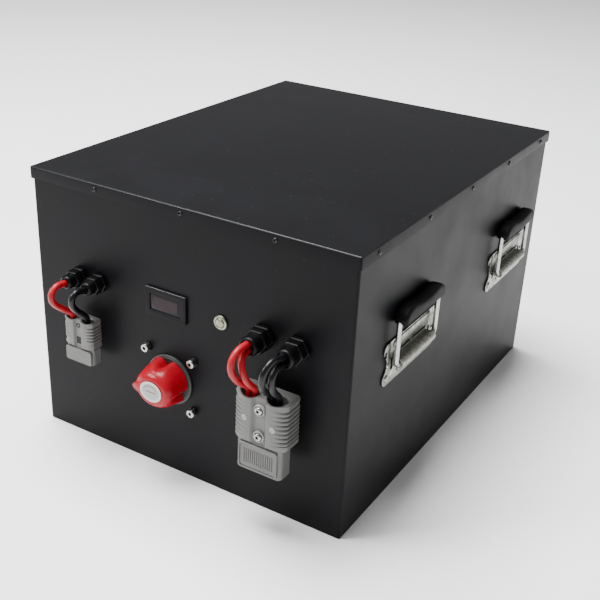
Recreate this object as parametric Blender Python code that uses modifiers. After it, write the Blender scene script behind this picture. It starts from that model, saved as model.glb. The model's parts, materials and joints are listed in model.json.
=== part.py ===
"""Rack-free battery pack in a steel case: lithium cells, an isolator switch, a meter, a wake button,
two pairs of output leads on hand-sized connectors, and two spring handles on each side wall.

Metres, +Z up. The origin is the centre of the case's underside, the switch panel faces -Y.
"""

import math

import bmesh
import bpy
from mathutils import Matrix, Vector

GAP = 0.0003                      # clearance between pieces that touch

# Case
CASE_WIDTH = 0.360
CASE_DEPTH = 0.458
CASE_HEIGHT = 0.285               # to the top of the lid
SHEET = 0.0015
FOLD_RADIUS = 0.002
LID_REACH = 0.002                 # how far the lid's skirt stands outside the case
LID_SKIRT = 0.012
GASKET = 0.0012
FLANGE_WIDTH = 0.014              # the case's inward flange, under the gasket

# Cells
CELL_SIZE = (0.174, 0.072, 0.205)
CELL_PITCH = (0.175, 0.0726)
CELL_FLOOR = SHEET + GAP
CELL_ROW_CENTRE = 0.068           # Y of the middle of the cell block
TERMINAL_SPREAD = 0.061
TERMINAL_RADIUS = 0.008
TERMINAL_HEIGHT = 0.003
END_PLATE = (0.346, 0.008, 0.190)

# Front panel, as (X, Z) on the panel; depths are measured outwards from it
METER_CENTRE = (-0.018, 0.1835)
METER_BEZEL = (0.048, 0.0285)
METER_BODY = (0.045, 0.0255)
METER_OPENING = (0.036, 0.017)
BUTTON_CENTRE = (0.0443, 0.184)
BUTTON_HEAD_RADIUS = 0.0073
BUTTON_THREAD_RADIUS = 0.0059
BUTTON_CAP_RADIUS = 0.0047
BUTTON_TRAVEL = 0.0022
SWITCH_CENTRE = (-0.0145, 0.1045)
SWITCH_SCREW_SPACING = 0.0546
SWITCH_BODY = 0.069
SWITCH_BODY_DEPTH = 0.046
ROTOR_RADIUS = 0.008
COLLAR_RADIUS = 0.0263
COLLAR_TOP = 0.0030
KNOB_RADIUS = 0.0250
KNOB_GROOVE_RADIUS = 0.0165
KNOB_POINTER = 0.0232             # how far the pointer lobe still reaches beside the cap
KNOB_POINTER_DEG = 182.0
KNOB_LEAN = 0.0017                # how much the petal opposite the lower one falls short
KNOB_LEAN_DEG = 20.0
KNOB_TOP = 0.0298
KNOB_CAP_RADIUS = 0.0127
KNOB_SQUEEZE = 0.18               # how much flatter than wide the knob is at its top, and its cap
KNOB_GROOVES_DEG = (91.0, 150.0, 222.0, 337.0)
KNOB_GROOVE_WIDTH_DEG = 25.0

# Glands: where each sits, and its size
GLAND_HEIGHT = 0.1845
POWER_GLAND_X = {"red": 0.0905, "black": 0.1275}
CHARGE_GLAND_X = {"red": -0.1235, "black": -0.0985}
POWER_GLAND = {"flats": 0.0224, "thread": 0.0100, "tip": 0.0265, "tip_radius": 0.0084, "bore": 0.0071}
CHARGE_GLAND = {"flats": 0.0176, "thread": 0.0074, "tip": 0.0235, "tip_radius": 0.0058, "bore": 0.0040}
SEAL_DEPTH = 0.003                # how deep the seal lies inside the dome nut's mouth

# Leads
LEAD_RADIUS = 0.0032
LEAD_SPREAD = 0.00340             # from a gland's or a barrel's axis to each of its two leads

# Connectors: X centre, lowest and highest Z, front and back (outwards from the panel), widths.
# The hood is the lower part that mates. It is thinner than the barrels above it.
CHARGE_CONNECTOR = {
    "x": -0.1110, "low": 0.1010, "high": 0.1486, "front": 0.0240, "back": 0.0080,
    "width": 0.0365, "hood_width": 0.0345, "hood": 0.0170, "hood_back": 0.0095,
    "mouth_spread": 0.0090, "mouth_forward": 0.0020, "mouth_radius": 0.0050, "mouth_floor": 0.1400,
    "corner": 0.0030,
}
POWER_CONNECTOR = {
    "x": 0.1090, "low": 0.0640, "high": 0.1434, "front": 0.0340, "back": 0.0086,
    "width": 0.0559, "hood_width": 0.0480, "hood": 0.0306, "hood_back": 0.0157,
    "mouth_spread": 0.0125, "mouth_forward": 0.0035, "mouth_radius": 0.0080, "mouth_floor": 0.1320,
    "corner": 0.0050,
}
CONNECTOR_SCREW_HEIGHTS = {"upper": 0.1308, "lower": 0.1037}
CONNECTOR_SCREW_RADIUS = 0.0041

# Handles, in the handle's own frame: +X along the wall, +Y up, +Z out of the wall
HANDLE_SPACING = 0.250
HANDLE_MIDDLE = 0.011             # Y midway between the front and the rear handles
HANDLE_PIVOT_HEIGHT = 0.1520
HANDLE_REST_DEPTH = 0.0070        # the pivot's distance from the wall
BAIL_RADIUS = 0.0025
BAIL_HALF_WIDTH = 0.0420
BAIL_RISE = 0.0500                # pivot to the grip's middle
PLATE_HALF_LENGTH = 0.0560
PLATE_BOTTOM = -0.0190
PLATE_TOP = 0.0250
PLATE_SHEET = 0.0016
TUNNEL_HALF_LENGTH = 0.0352
TUNNEL_RADIUS = 0.0052
GRIP_HALF_LENGTH = 0.0440
GRIP_THICKNESS = 0.0136
GRIP_BOTTOM = 0.0415
GRIP_TOP = 0.0580

FINISHES = {
    # name: (red, green, blue), roughness, metallic
    "case_paint": ((0.030, 0.030, 0.033), 0.55, 0.0),
    "gasket_foam": ((0.020, 0.020, 0.020), 0.90, 0.0),
    "zinc_plate": ((0.62, 0.62, 0.60), 0.32, 1.0),
    "grip_vinyl": ((0.012, 0.012, 0.013), 0.60, 0.0),
    "switch_red": ((0.52, 0.012, 0.020), 0.28, 0.0),
    "switch_black": ((0.016, 0.016, 0.017), 0.50, 0.0),
    "collar_grey": ((0.060, 0.070, 0.064), 0.50, 0.0),
    "cap_white": ((0.72, 0.72, 0.70), 0.40, 0.0),
    "stainless": ((0.60, 0.60, 0.58), 0.28, 1.0),
    "meter_plastic": ((0.014, 0.014, 0.016), 0.35, 0.0),
    "meter_smoke": ((0.055, 0.020, 0.035), 0.12, 0.0),
    "gland_nylon": ((0.010, 0.010, 0.011), 0.38, 0.0),
    "lead_red": ((0.50, 0.018, 0.028), 0.35, 0.0),
    "lead_black": ((0.012, 0.012, 0.014), 0.40, 0.0),
    "connector_grey": ((0.33, 0.33, 0.32), 0.48, 0.0),
    "cell_blue": ((0.020, 0.075, 0.240), 0.40, 0.0),
    "fibreglass": ((0.60, 0.55, 0.30), 0.60, 0.0),
    "heat_sink": ((0.28, 0.28, 0.29), 0.40, 1.0),
    "brass": ((0.72, 0.52, 0.22), 0.30, 1.0),
}


def clear_scene():
    for old in list(bpy.data.objects):
        bpy.data.objects.remove(old, do_unlink=True)


def new_collection(name):
    collection = bpy.data.collections.new(name)
    bpy.context.scene.collection.children.link(collection)
    return collection


def make_material(name, colour, roughness, metallic):
    material = bpy.data.materials.new(name)
    material.use_nodes = True
    shader = material.node_tree.nodes["Principled BSDF"]
    shader.inputs["Base Color"].default_value = (*colour, 1.0)
    shader.inputs["Roughness"].default_value = roughness
    shader.inputs["Metallic"].default_value = metallic
    return material


clear_scene()
PARTS = new_collection("battery_pack")
CUTTERS = new_collection("battery_pack_cutters")
MATERIALS = {name: make_material(name, *finish) for name, finish in FINISHES.items()}


# ---------------------------------------------------------------- placing and joining

def new_frame(name, place, turn=None):
    """An empty that a group of pieces hangs on."""
    frame = bpy.data.objects.new(name, None)
    frame.matrix_world = Matrix.Translation(place) @ (turn or Matrix()).to_4x4()
    PARTS.objects.link(frame)
    return frame


def add_piece(name, mesh, finish, frame=None, place=(0, 0, 0)):
    piece = bpy.data.objects.new(name, mesh)
    piece.location = place
    piece.parent = frame
    if finish is None:
        piece.hide_render = True
        piece.display_type = "WIRE"
        CUTTERS.objects.link(piece)
    else:
        mesh.materials.clear()
        mesh.materials.append(MATERIALS[finish])
        PARTS.objects.link(piece)
    return piece


def add_bevel(piece, width, segments=2):
    bevel = piece.modifiers.new("Rounded", "BEVEL")
    bevel.width = width
    bevel.segments = segments
    bevel.limit_method = "ANGLE"
    bevel.angle_limit = math.radians(35)
    return piece


def add_boolean(piece, other, operation):
    boolean = piece.modifiers.new(operation.title(), "BOOLEAN")
    boolean.operation = operation
    boolean.solver = "EXACT"
    boolean.object = other
    return piece


def cut(piece, *cutters):
    for cutter in cutters:
        add_boolean(piece, cutter, "DIFFERENCE")
    return piece


def unite(piece, *others):
    for other in others:
        add_boolean(piece, other, "UNION")
    return piece


def settled_mesh(piece):
    """The piece's mesh with its modifiers applied, and its points made one where they meet."""
    graph = bpy.context.evaluated_depsgraph_get()
    graph.update()
    mesh = bpy.data.meshes.new_from_object(piece.evaluated_get(graph), depsgraph=graph)
    weld = bmesh.new()
    weld.from_mesh(mesh)
    bmesh.ops.remove_doubles(weld, verts=weld.verts, dist=1e-6)
    weld.to_mesh(mesh)
    weld.free()
    return mesh


# ---------------------------------------------------------------- shapes

def block_mesh(name, low, high, upright_bevel=0.0, segments=2):
    """A box from one corner to the other, with its upright edges rounded if asked."""
    low, high = Vector(low), Vector(high)
    mesh = bpy.data.meshes.new(name)
    shape = bmesh.new()
    bmesh.ops.create_cube(shape, size=1.0)
    size = high - low
    bmesh.ops.scale(shape, vec=size, verts=shape.verts)
    bmesh.ops.translate(shape, vec=(low + high) / 2, verts=shape.verts)
    if upright_bevel:
        upright = [e for e in shape.edges if abs(e.verts[0].co.z - e.verts[1].co.z) > size.z / 2]
        bmesh.ops.bevel(shape, geom=upright, offset=upright_bevel, segments=segments,
                        affect="EDGES", profile=0.5)
    shape.to_mesh(mesh)
    shape.free()
    return mesh


def plate_mesh(name, outline, low, high):
    """A flat outline in XY, extruded from one height to the other."""
    curve = bpy.data.curves.new(name, "CURVE")
    curve.dimensions = "2D"
    curve.fill_mode = "BOTH"
    curve.extrude = (high - low) / 2
    spline = curve.splines.new("POLY")
    spline.points.add(len(outline) - 1)
    for point, (x, y) in zip(spline.points, outline):
        point.co = (x, y, 0, 1)
    spline.use_cyclic_u = True
    guide = bpy.data.objects.new(name, curve)
    CUTTERS.objects.link(guide)
    mesh = settled_mesh(guide)
    mesh.transform(Matrix.Translation((0, 0, (low + high) / 2)))
    bpy.data.objects.remove(guide)
    return mesh


def turned(name, profile, finish, frame=None, place=(0, 0, 0), steps=24):
    """A solid turned about its own Z, from (radius, height) points that run down the outside."""
    mesh = bpy.data.meshes.new(name)
    points = [(radius, 0, height) for radius, height in profile]
    mesh.from_pydata(points, [(i, i + 1) for i in range(len(points) - 1)], [])
    piece = add_piece(name, mesh, finish, frame, place)
    screw = piece.modifiers.new("Turned", "SCREW")
    screw.axis = "Z"
    screw.steps = steps
    screw.render_steps = steps
    screw.use_merge_vertices = True
    screw.merge_threshold = 1e-5
    screw.use_smooth_shade = True
    return piece


def ring_profile(inner, outer, low, high):
    return [(inner, high), (outer, high), (outer, low), (inner, low), (inner, high)]


def rod_profile(radius, low, high):
    return [(0, high), (radius, high), (radius, low), (0, low)]


def prism(name, flats, low, high, finish, frame, place=(0, 0, 0)):
    """A hexagonal prism about its own Z, measured across its flats."""
    mesh = bpy.data.meshes.new(name)
    shape = bmesh.new()
    radius = flats / math.sqrt(3)
    bmesh.ops.create_cone(shape, cap_ends=True, segments=6, radius1=radius, radius2=radius,
                          depth=high - low)
    bmesh.ops.translate(shape, vec=(0, 0, (low + high) / 2), verts=shape.verts)
    shape.to_mesh(mesh)
    shape.free()
    return add_piece(name, mesh, finish, frame, place)


def cylinders_mesh(name, centres, low, high, segments=24):
    """Upright cylinders that don't touch, one for each (x, y, radius)."""
    mesh = bpy.data.meshes.new(name)
    shape = bmesh.new()
    for x, y, radius in centres:
        place = Matrix.Translation((x, y, (low + high) / 2))
        bmesh.ops.create_cone(shape, cap_ends=True, segments=segments, radius1=radius,
                              radius2=radius, depth=high - low, matrix=place)
    shape.to_mesh(mesh)
    shape.free()
    return mesh


def tube_mesh(name, points, radius, sides=2):
    """A round rod along the points."""
    curve = bpy.data.curves.new(name, "CURVE")
    curve.dimensions = "3D"
    curve.bevel_depth = radius
    curve.bevel_resolution = sides
    curve.use_fill_caps = True
    spline = curve.splines.new("POLY")
    spline.points.add(len(points) - 1)
    for point, place in zip(spline.points, points):
        point.co = (*place, 1)
    guide = bpy.data.objects.new(name, curve)
    CUTTERS.objects.link(guide)
    mesh = settled_mesh(guide)
    bpy.data.objects.remove(guide)
    return mesh


def smooth_path(points, count):
    """Points evenly spaced along a smooth curve through the given ones."""
    points = [Vector(p) for p in points]
    ends = [2 * points[0] - points[1], *points, 2 * points[-1] - points[-2]]
    fine = []
    for before, start, end, after in zip(ends, ends[1:], ends[2:], ends[3:]):
        for step in range(24):
            t = step / 24
            fine.append(0.5 * (2 * start + (end - before) * t
                               + (2 * before - 5 * start + 4 * end - after) * t * t
                               + (3 * start - before - 3 * end + after) * t ** 3))
    fine.append(points[-1])
    lengths = [0.0]
    for a, b in zip(fine, fine[1:]):
        lengths.append(lengths[-1] + (b - a).length)
    path = []
    at = 0
    for i in range(count):
        wanted = lengths[-1] * i / (count - 1)
        while at < len(fine) - 2 and lengths[at + 1] < wanted:
            at += 1
        part = (wanted - lengths[at]) / (lengths[at + 1] - lengths[at])
        path.append(fine[at].lerp(fine[at + 1], part))
    return path


# ---------------------------------------------------------------- frames

# On the panel frame +X runs along the panel, +Y up and +Z out of it, as on each handle's frame.
OUT_OF_PANEL = Matrix.Rotation(math.radians(90), 3, "X")
PANEL = new_frame("panel_frame", (0, -CASE_DEPTH / 2, 0), OUT_OF_PANEL)


def on_panel(x, outwards, z):
    return (x, -CASE_DEPTH / 2 - outwards, z)


# ---------------------------------------------------------------- case

def panel_holes():
    """Cutters for every hole in the front panel, in the panel's frame."""
    low, high = -0.006, 0.006
    half = SWITCH_SCREW_SPACING / 2
    holes = [(*BUTTON_CENTRE, BUTTON_THREAD_RADIUS + GAP), (*SWITCH_CENTRE, ROTOR_RADIUS + 2 * GAP)]
    for dx in (-half, half):
        for dz in (-half, half):
            holes.append((SWITCH_CENTRE[0] + dx, SWITCH_CENTRE[1] + dz, 0.0029))
    for x in POWER_GLAND_X.values():
        holes.append((x, GLAND_HEIGHT, POWER_GLAND["thread"] + GAP))
    for x in CHARGE_GLAND_X.values():
        holes.append((x, GLAND_HEIGHT, CHARGE_GLAND["thread"] + GAP))
    round_holes = add_piece("panel_round_holes", cylinders_mesh("panel_round_holes", holes, low, high),
                            None, PANEL)
    x, z = METER_CENTRE
    dx, dz = METER_BODY[0] / 2 + GAP, METER_BODY[1] / 2 + GAP
    window = block_mesh("meter_cut_out", (x - dx, z - dz, low), (x + dx, z + dz, high))
    return round_holes, add_piece("meter_cut_out", window, None, PANEL)


def build_case():
    x, y = CASE_WIDTH / 2, CASE_DEPTH / 2
    inner_x, inner_y = x - SHEET, y - SHEET
    flange_top = CASE_HEIGHT - SHEET - GASKET - 2 * GAP
    shell = add_piece("case_shell", block_mesh("case_shell", (-x, -y, 0), (x, y, flange_top), FOLD_RADIUS),
                      "case_paint")
    cavity = block_mesh("case_cavity", (-inner_x, -inner_y, SHEET), (inner_x, inner_y, flange_top - SHEET),
                        FOLD_RADIUS - SHEET / 2, 1)
    mouth_x, mouth_y = x - FLANGE_WIDTH, y - FLANGE_WIDTH
    mouth = block_mesh("case_mouth", (-mouth_x, -mouth_y, CASE_HEIGHT / 2), (mouth_x, mouth_y, CASE_HEIGHT))
    cut(shell, add_piece("case_cavity", cavity, None), add_piece("case_mouth", mouth, None), *panel_holes())

    foam = block_mesh("lid_gasket", (-inner_x, -inner_y, flange_top + GAP),
                      (inner_x, inner_y, flange_top + GAP + GASKET))
    gasket = add_piece("lid_gasket", foam, "gasket_foam")
    hole = block_mesh("gasket_mouth", (-mouth_x, -mouth_y, CASE_HEIGHT / 2), (mouth_x, mouth_y, CASE_HEIGHT))
    cut(gasket, add_piece("gasket_mouth", hole, None))

    lid_x, lid_y = x + LID_REACH, y + LID_REACH
    cover = block_mesh("lid", (-lid_x, -lid_y, CASE_HEIGHT - LID_SKIRT), (lid_x, lid_y, CASE_HEIGHT),
                       FOLD_RADIUS)
    lid = add_bevel(add_piece("lid", cover, "case_paint"), 0.0008, 1)
    pocket = block_mesh("lid_pocket", (SHEET - lid_x, SHEET - lid_y, CASE_HEIGHT / 2),
                        (lid_x - SHEET, lid_y - SHEET, CASE_HEIGHT - SHEET))
    cut(lid, add_piece("lid_pocket", pocket, None))


# ---------------------------------------------------------------- inside the case

def build_cells():
    width, thickness, height = CELL_SIZE
    body = block_mesh("cell_body", (-width / 2, -thickness / 2, 0), (width / 2, thickness / 2, height),
                      0.004, 1)
    pattern = add_piece("cell_pattern", body, None)
    posts = cylinders_mesh("cell_terminals", [(x, 0, TERMINAL_RADIUS) for x in (-TERMINAL_SPREAD,
                                                                                TERMINAL_SPREAD)],
                           height - 0.002, height + TERMINAL_HEIGHT, 12)
    unite(pattern, add_piece("cell_terminals", posts, None))
    mesh = settled_mesh(pattern)
    number = 1
    for row in range(4):
        for side in (-0.5, 0.5):
            place = (side * CELL_PITCH[0], CELL_ROW_CENTRE + (row - 1.5) * CELL_PITCH[1], CELL_FLOOR)
            add_piece(f"cell_{number}", mesh, "cell_blue", None, place)
            number += 1


def build_cell_frame():
    """The end plates that squeeze the cells, the carrier over their terminals and the battery manager."""
    width, thickness, height = END_PLATE
    reach = 2 * CELL_PITCH[1] + GAP + thickness / 2
    for name, side in (("end_plate_front", -1), ("end_plate_rear", 1)):
        y = CELL_ROW_CENTRE + side * reach
        plate = block_mesh(name, (-width / 2, y - thickness / 2, CELL_FLOOR),
                           (width / 2, y + thickness / 2, CELL_FLOOR + height))
        add_piece(name, plate, "fibreglass")
    top = CELL_FLOOR + CELL_SIZE[2] + TERMINAL_HEIGHT
    depth = 2 * CELL_PITCH[1] - 0.006
    carrier = add_piece("busbar_carrier", block_mesh("busbar_carrier",
                        (-0.165, CELL_ROW_CENTRE - depth, top + GAP),
                        (0.165, CELL_ROW_CENTRE + depth, top + GAP + 0.003)), "fibreglass")
    studs = []
    for row in range(4):
        y = CELL_ROW_CENTRE + (row - 1.5) * CELL_PITCH[1]
        for side in (-0.5, 0.5):
            for dx in (-TERMINAL_SPREAD, TERMINAL_SPREAD):
                studs.append((side * CELL_PITCH[0] + dx, y, 0.0045))
    cut(carrier, add_piece("carrier_holes", cylinders_mesh("carrier_holes", studs, top - 0.01, top + 0.02,
                                                           12), None))

    base = top + GAP + 0.003 + GAP
    manager = add_piece("battery_manager", block_mesh("battery_manager",
                        (-0.100, CELL_ROW_CENTRE - 0.060, base),
                        (0.100, CELL_ROW_CENTRE + 0.060, base + 0.026)),
                        "heat_sink")
    for i in range(7):
        x = -0.084 + 0.028 * i
        groove = block_mesh("fin_groove", (x - 0.006, CELL_ROW_CENTRE - 0.07, base + 0.012),
                            (x + 0.006, CELL_ROW_CENTRE + 0.07, base + 0.04))
        cut(manager, add_piece(f"fin_groove_{i}", groove, None))


# ---------------------------------------------------------------- switch

def knob_radius(angle, height):
    """The knob's outline: four petals between grooves that fade towards the cap, on a dome.
    One petal, the pointer, keeps its reach up to the cap."""
    away = min(abs((math.degrees(angle) - groove + 180) % 360 - 180) for groove in KNOB_GROOVES_DEG)
    petal = min(1.0, away / KNOB_GROOVE_WIDTH_DEG)
    petal = math.sin(petal * math.pi / 2)
    base, top = COLLAR_TOP + GAP, KNOB_TOP
    up = (height - base) / (top - base)
    dome = math.sqrt(max(0.0, 1.0 - max(0.0, (up - 0.35) / 0.65) ** 2))
    tip = KNOB_CAP_RADIUS + 0.001
    aside = (math.degrees(angle) - KNOB_POINTER_DEG + 180) % 360 - 180
    pointer = tip + (KNOB_POINTER - tip) * math.exp(-(aside / 24.0) ** 2)
    foot = KNOB_RADIUS - KNOB_LEAN * math.cos(angle - math.radians(KNOB_LEAN_DEG))
    lobe = max(tip + (foot - 0.0016 * math.sin(math.pi * up) - tip) * dome, pointer)
    groove = tip + (KNOB_GROOVE_RADIUS - tip) * dome
    depth = 1.0 - 0.9 * min(1.0, max(0.0, (up - 0.25) / 0.5))
    return lobe - (lobe - groove) * (1.0 - petal) * depth


def build_knob():
    """The knob, in rings that run from its foot up to the flat face that carries the cap."""
    base, top = COLLAR_TOP + GAP, KNOB_TOP
    heights = [base + (top - base) * u for u in (0.0, 0.12, 0.25, 0.4, 0.55, 0.68, 0.79, 0.88, 0.95, 1.0)]
    segments = 48
    shape = bmesh.new()
    rings = []
    for height in heights:
        ring = []
        for i in range(segments):
            angle = 2 * math.pi * i / segments
            radius = knob_radius(angle, height)
            flat = 1.0 - KNOB_SQUEEZE * ((height - base) / (top - base)) ** 2
            ring.append(shape.verts.new((radius * math.cos(angle), radius * math.sin(angle) * flat, height)))
        rings.append(ring)
    for low, high in zip(rings, rings[1:]):
        for i in range(segments):
            j = (i + 1) % segments
            shape.faces.new((low[i], low[j], high[j], high[i]))
    shape.faces.new(rings[-1])
    shape.faces.new(list(reversed(rings[0])))
    mesh = bpy.data.meshes.new("switch_knob")
    shape.to_mesh(mesh)
    shape.free()
    mesh.shade_smooth()
    mesh.set_sharp_from_angle(angle=math.radians(40))
    knob = add_piece("switch_knob", mesh, "switch_red", PANEL, (*SWITCH_CENTRE, 0))
    socket = turned("knob_socket", rod_profile(ROTOR_RADIUS + GAP, -0.002, 0.010), None, PANEL,
                    (*SWITCH_CENTRE, 0), 16)
    cut(knob, socket)


def build_switch():
    place = (*SWITCH_CENTRE, 0)
    turned("switch_collar", ring_profile(ROTOR_RADIUS + 2 * GAP, COLLAR_RADIUS, GAP, COLLAR_TOP),
           "collar_grey", PANEL, place, 32)
    build_knob()
    cap = turned("switch_cap", [(0, KNOB_TOP + 0.0012), (KNOB_CAP_RADIUS - 0.0006, KNOB_TOP + 0.0012),
                                (KNOB_CAP_RADIUS, KNOB_TOP + 0.0008), (KNOB_CAP_RADIUS, KNOB_TOP + GAP),
                                (0, KNOB_TOP + GAP)], "cap_white", PANEL, place, 32)
    cap.scale.y = 1.0 - KNOB_SQUEEZE
    turned("switch_rotor", rod_profile(ROTOR_RADIUS, -0.024, 0.0095), "brass", PANEL, place, 16)

    half = SWITCH_BODY / 2
    front = -SHEET - GAP
    body = block_mesh("switch_housing", (-half, -half, front - SWITCH_BODY_DEPTH), (half, half, front),
                      0.008, 2)
    housing = add_piece("switch_housing", body, "switch_black", PANEL, place)
    bore = turned("switch_bore", rod_profile(ROTOR_RADIUS + GAP, -0.026, 0.01), None, PANEL, place, 16)
    spread = SWITCH_SCREW_SPACING / 2
    corners = [(x, z) for x in (-spread, spread) for z in (-spread, spread)]
    holes = cylinders_mesh("switch_screw_holes", [(x, z, 0.0029) for x, z in corners], -0.020, 0.01, 12)
    cut(housing, bore, add_piece("switch_screw_holes", holes, None, PANEL, place))
    profile = [(0, 0.0036), (0.0021, 0.0036), (0.0021, 0.0062), (0.0038, 0.0062), (0.00425, 0.0057),
               (0.00425, 0.0014), (0.0050, 0.0014), (0.0050, GAP), (0.0025, GAP), (0.0025, -0.018),
               (0, -0.018)]
    for number, (x, z) in enumerate(corners, 1):
        turned(f"switch_screw_{number}", profile, "stainless", PANEL,
               (SWITCH_CENTRE[0] + x, SWITCH_CENTRE[1] + z, 0), 16)


# ---------------------------------------------------------------- meter and button

def build_meter():
    place = (*METER_CENTRE, 0)
    x, y = METER_BEZEL[0] / 2, METER_BEZEL[1] / 2
    bezel = add_piece("meter_bezel", block_mesh("meter_bezel", (-x, -y, GAP), (x, y, 0.0026), 0.0012, 1),
                      "meter_plastic", PANEL, place)
    add_bevel(bezel, 0.0006, 1)
    x, y = METER_BODY[0] / 2, METER_BODY[1] / 2
    neck = add_piece("meter_neck", block_mesh("meter_neck", (-x, -y, -0.010), (x, y, 0.001)), None, PANEL,
                     place)
    unite(bezel, neck)
    x, y = METER_OPENING[0] / 2, METER_OPENING[1] / 2
    opening = block_mesh("meter_opening", (-x, -y, -0.02), (x, y, 0.02))
    cut(bezel, add_piece("meter_opening", opening, None, PANEL, place))
    x, y = x - GAP, y - GAP
    add_piece("meter_window", block_mesh("meter_window", (-x, -y, 0.0004), (x, y, 0.0014)), "meter_smoke",
              PANEL, place)
    add_piece("meter_module", block_mesh("meter_module", (-0.0215, -0.012, -0.0220),
                                         (0.0215, 0.012, -0.0103)),
              "meter_plastic", PANEL, place)


def build_button():
    place = (*BUTTON_CENTRE, 0)
    bore = BUTTON_CAP_RADIUS + GAP
    turned("button_body", [(bore, 0.0022), (BUTTON_HEAD_RADIUS - 0.0008, 0.0022),
                           (BUTTON_HEAD_RADIUS, 0.0013),
                           (BUTTON_HEAD_RADIUS, GAP), (BUTTON_THREAD_RADIUS, GAP),
                           (BUTTON_THREAD_RADIUS, -0.020),
                           (0, -0.020), (0, -0.0066), (bore, -0.0066), (bore, 0.0022)],
           "stainless", PANEL, place, 24)
    turned("button_cap", [(0, 0.0034), (0.0030, 0.0032), (BUTTON_CAP_RADIUS, 0.0024),
                          (BUTTON_CAP_RADIUS, -0.0040), (0, -0.0040)], "stainless", PANEL, place, 24)
    nut = prism("button_nut", 0.0150, -SHEET - GAP - 0.003, -SHEET - GAP, "stainless", PANEL, place)
    hole = turned("nut_hole", rod_profile(BUTTON_THREAD_RADIUS + GAP, -0.01, 0.0), None, PANEL, place, 24)
    cut(nut, hole)


# ---------------------------------------------------------------- glands and leads

def build_gland(name, x, size):
    """A body with a hexagon against the panel, and a dome nut over its nose."""
    place = (x, GLAND_HEIGHT, 0)
    nose = size["bore"] + 0.0020
    turned(f"gland_body_{name}", [(0, 0.0130), (nose, 0.0130), (nose, 0.0060),
                                  (size["flats"] / 2 + 0.0006, 0.0060),
                                  (size["flats"] / 2 + 0.0006, GAP), (size["thread"], GAP),
                                  (size["thread"], -0.012), (0, -0.012)], "gland_nylon", PANEL, place, 12)
    shoulder = size["flats"] / 2 - 0.0006
    tip = size["tip"]
    seal = tip - SEAL_DEPTH
    dome = [(0, seal), (size["bore"], seal), (size["bore"], tip), (size["tip_radius"], tip),
            (size["tip_radius"] + 0.0013, tip - 0.0016), (shoulder - 0.0003, 0.0170), (shoulder, 0.0150),
            (shoulder, 0.0060 + GAP), (nose + GAP, 0.0060 + GAP), (nose + GAP, 0.0130 + GAP),
            (0, 0.0130 + GAP)]
    nut = turned(f"gland_nut_{name}", dome, "gland_nylon", PANEL, place, 24)
    flats = prism(f"gland_flats_{name}", size["flats"] - 0.0010, 0.0060 + GAP, 0.0145, None, PANEL, place)
    socket = turned(f"gland_socket_{name}", rod_profile(nose + GAP, 0.0, 0.0130 + GAP), None, PANEL, place,
                    24)
    unite(nut, cut(flats, socket))


def connector_mouth(connector, colour):
    """The X and depth of a lead barrel's axis."""
    side = -1 if colour == "red" else 1
    depth = (connector["front"] + connector["back"]) / 2 + connector["mouth_forward"]
    return connector["x"] + side * connector["mouth_spread"], depth


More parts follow.
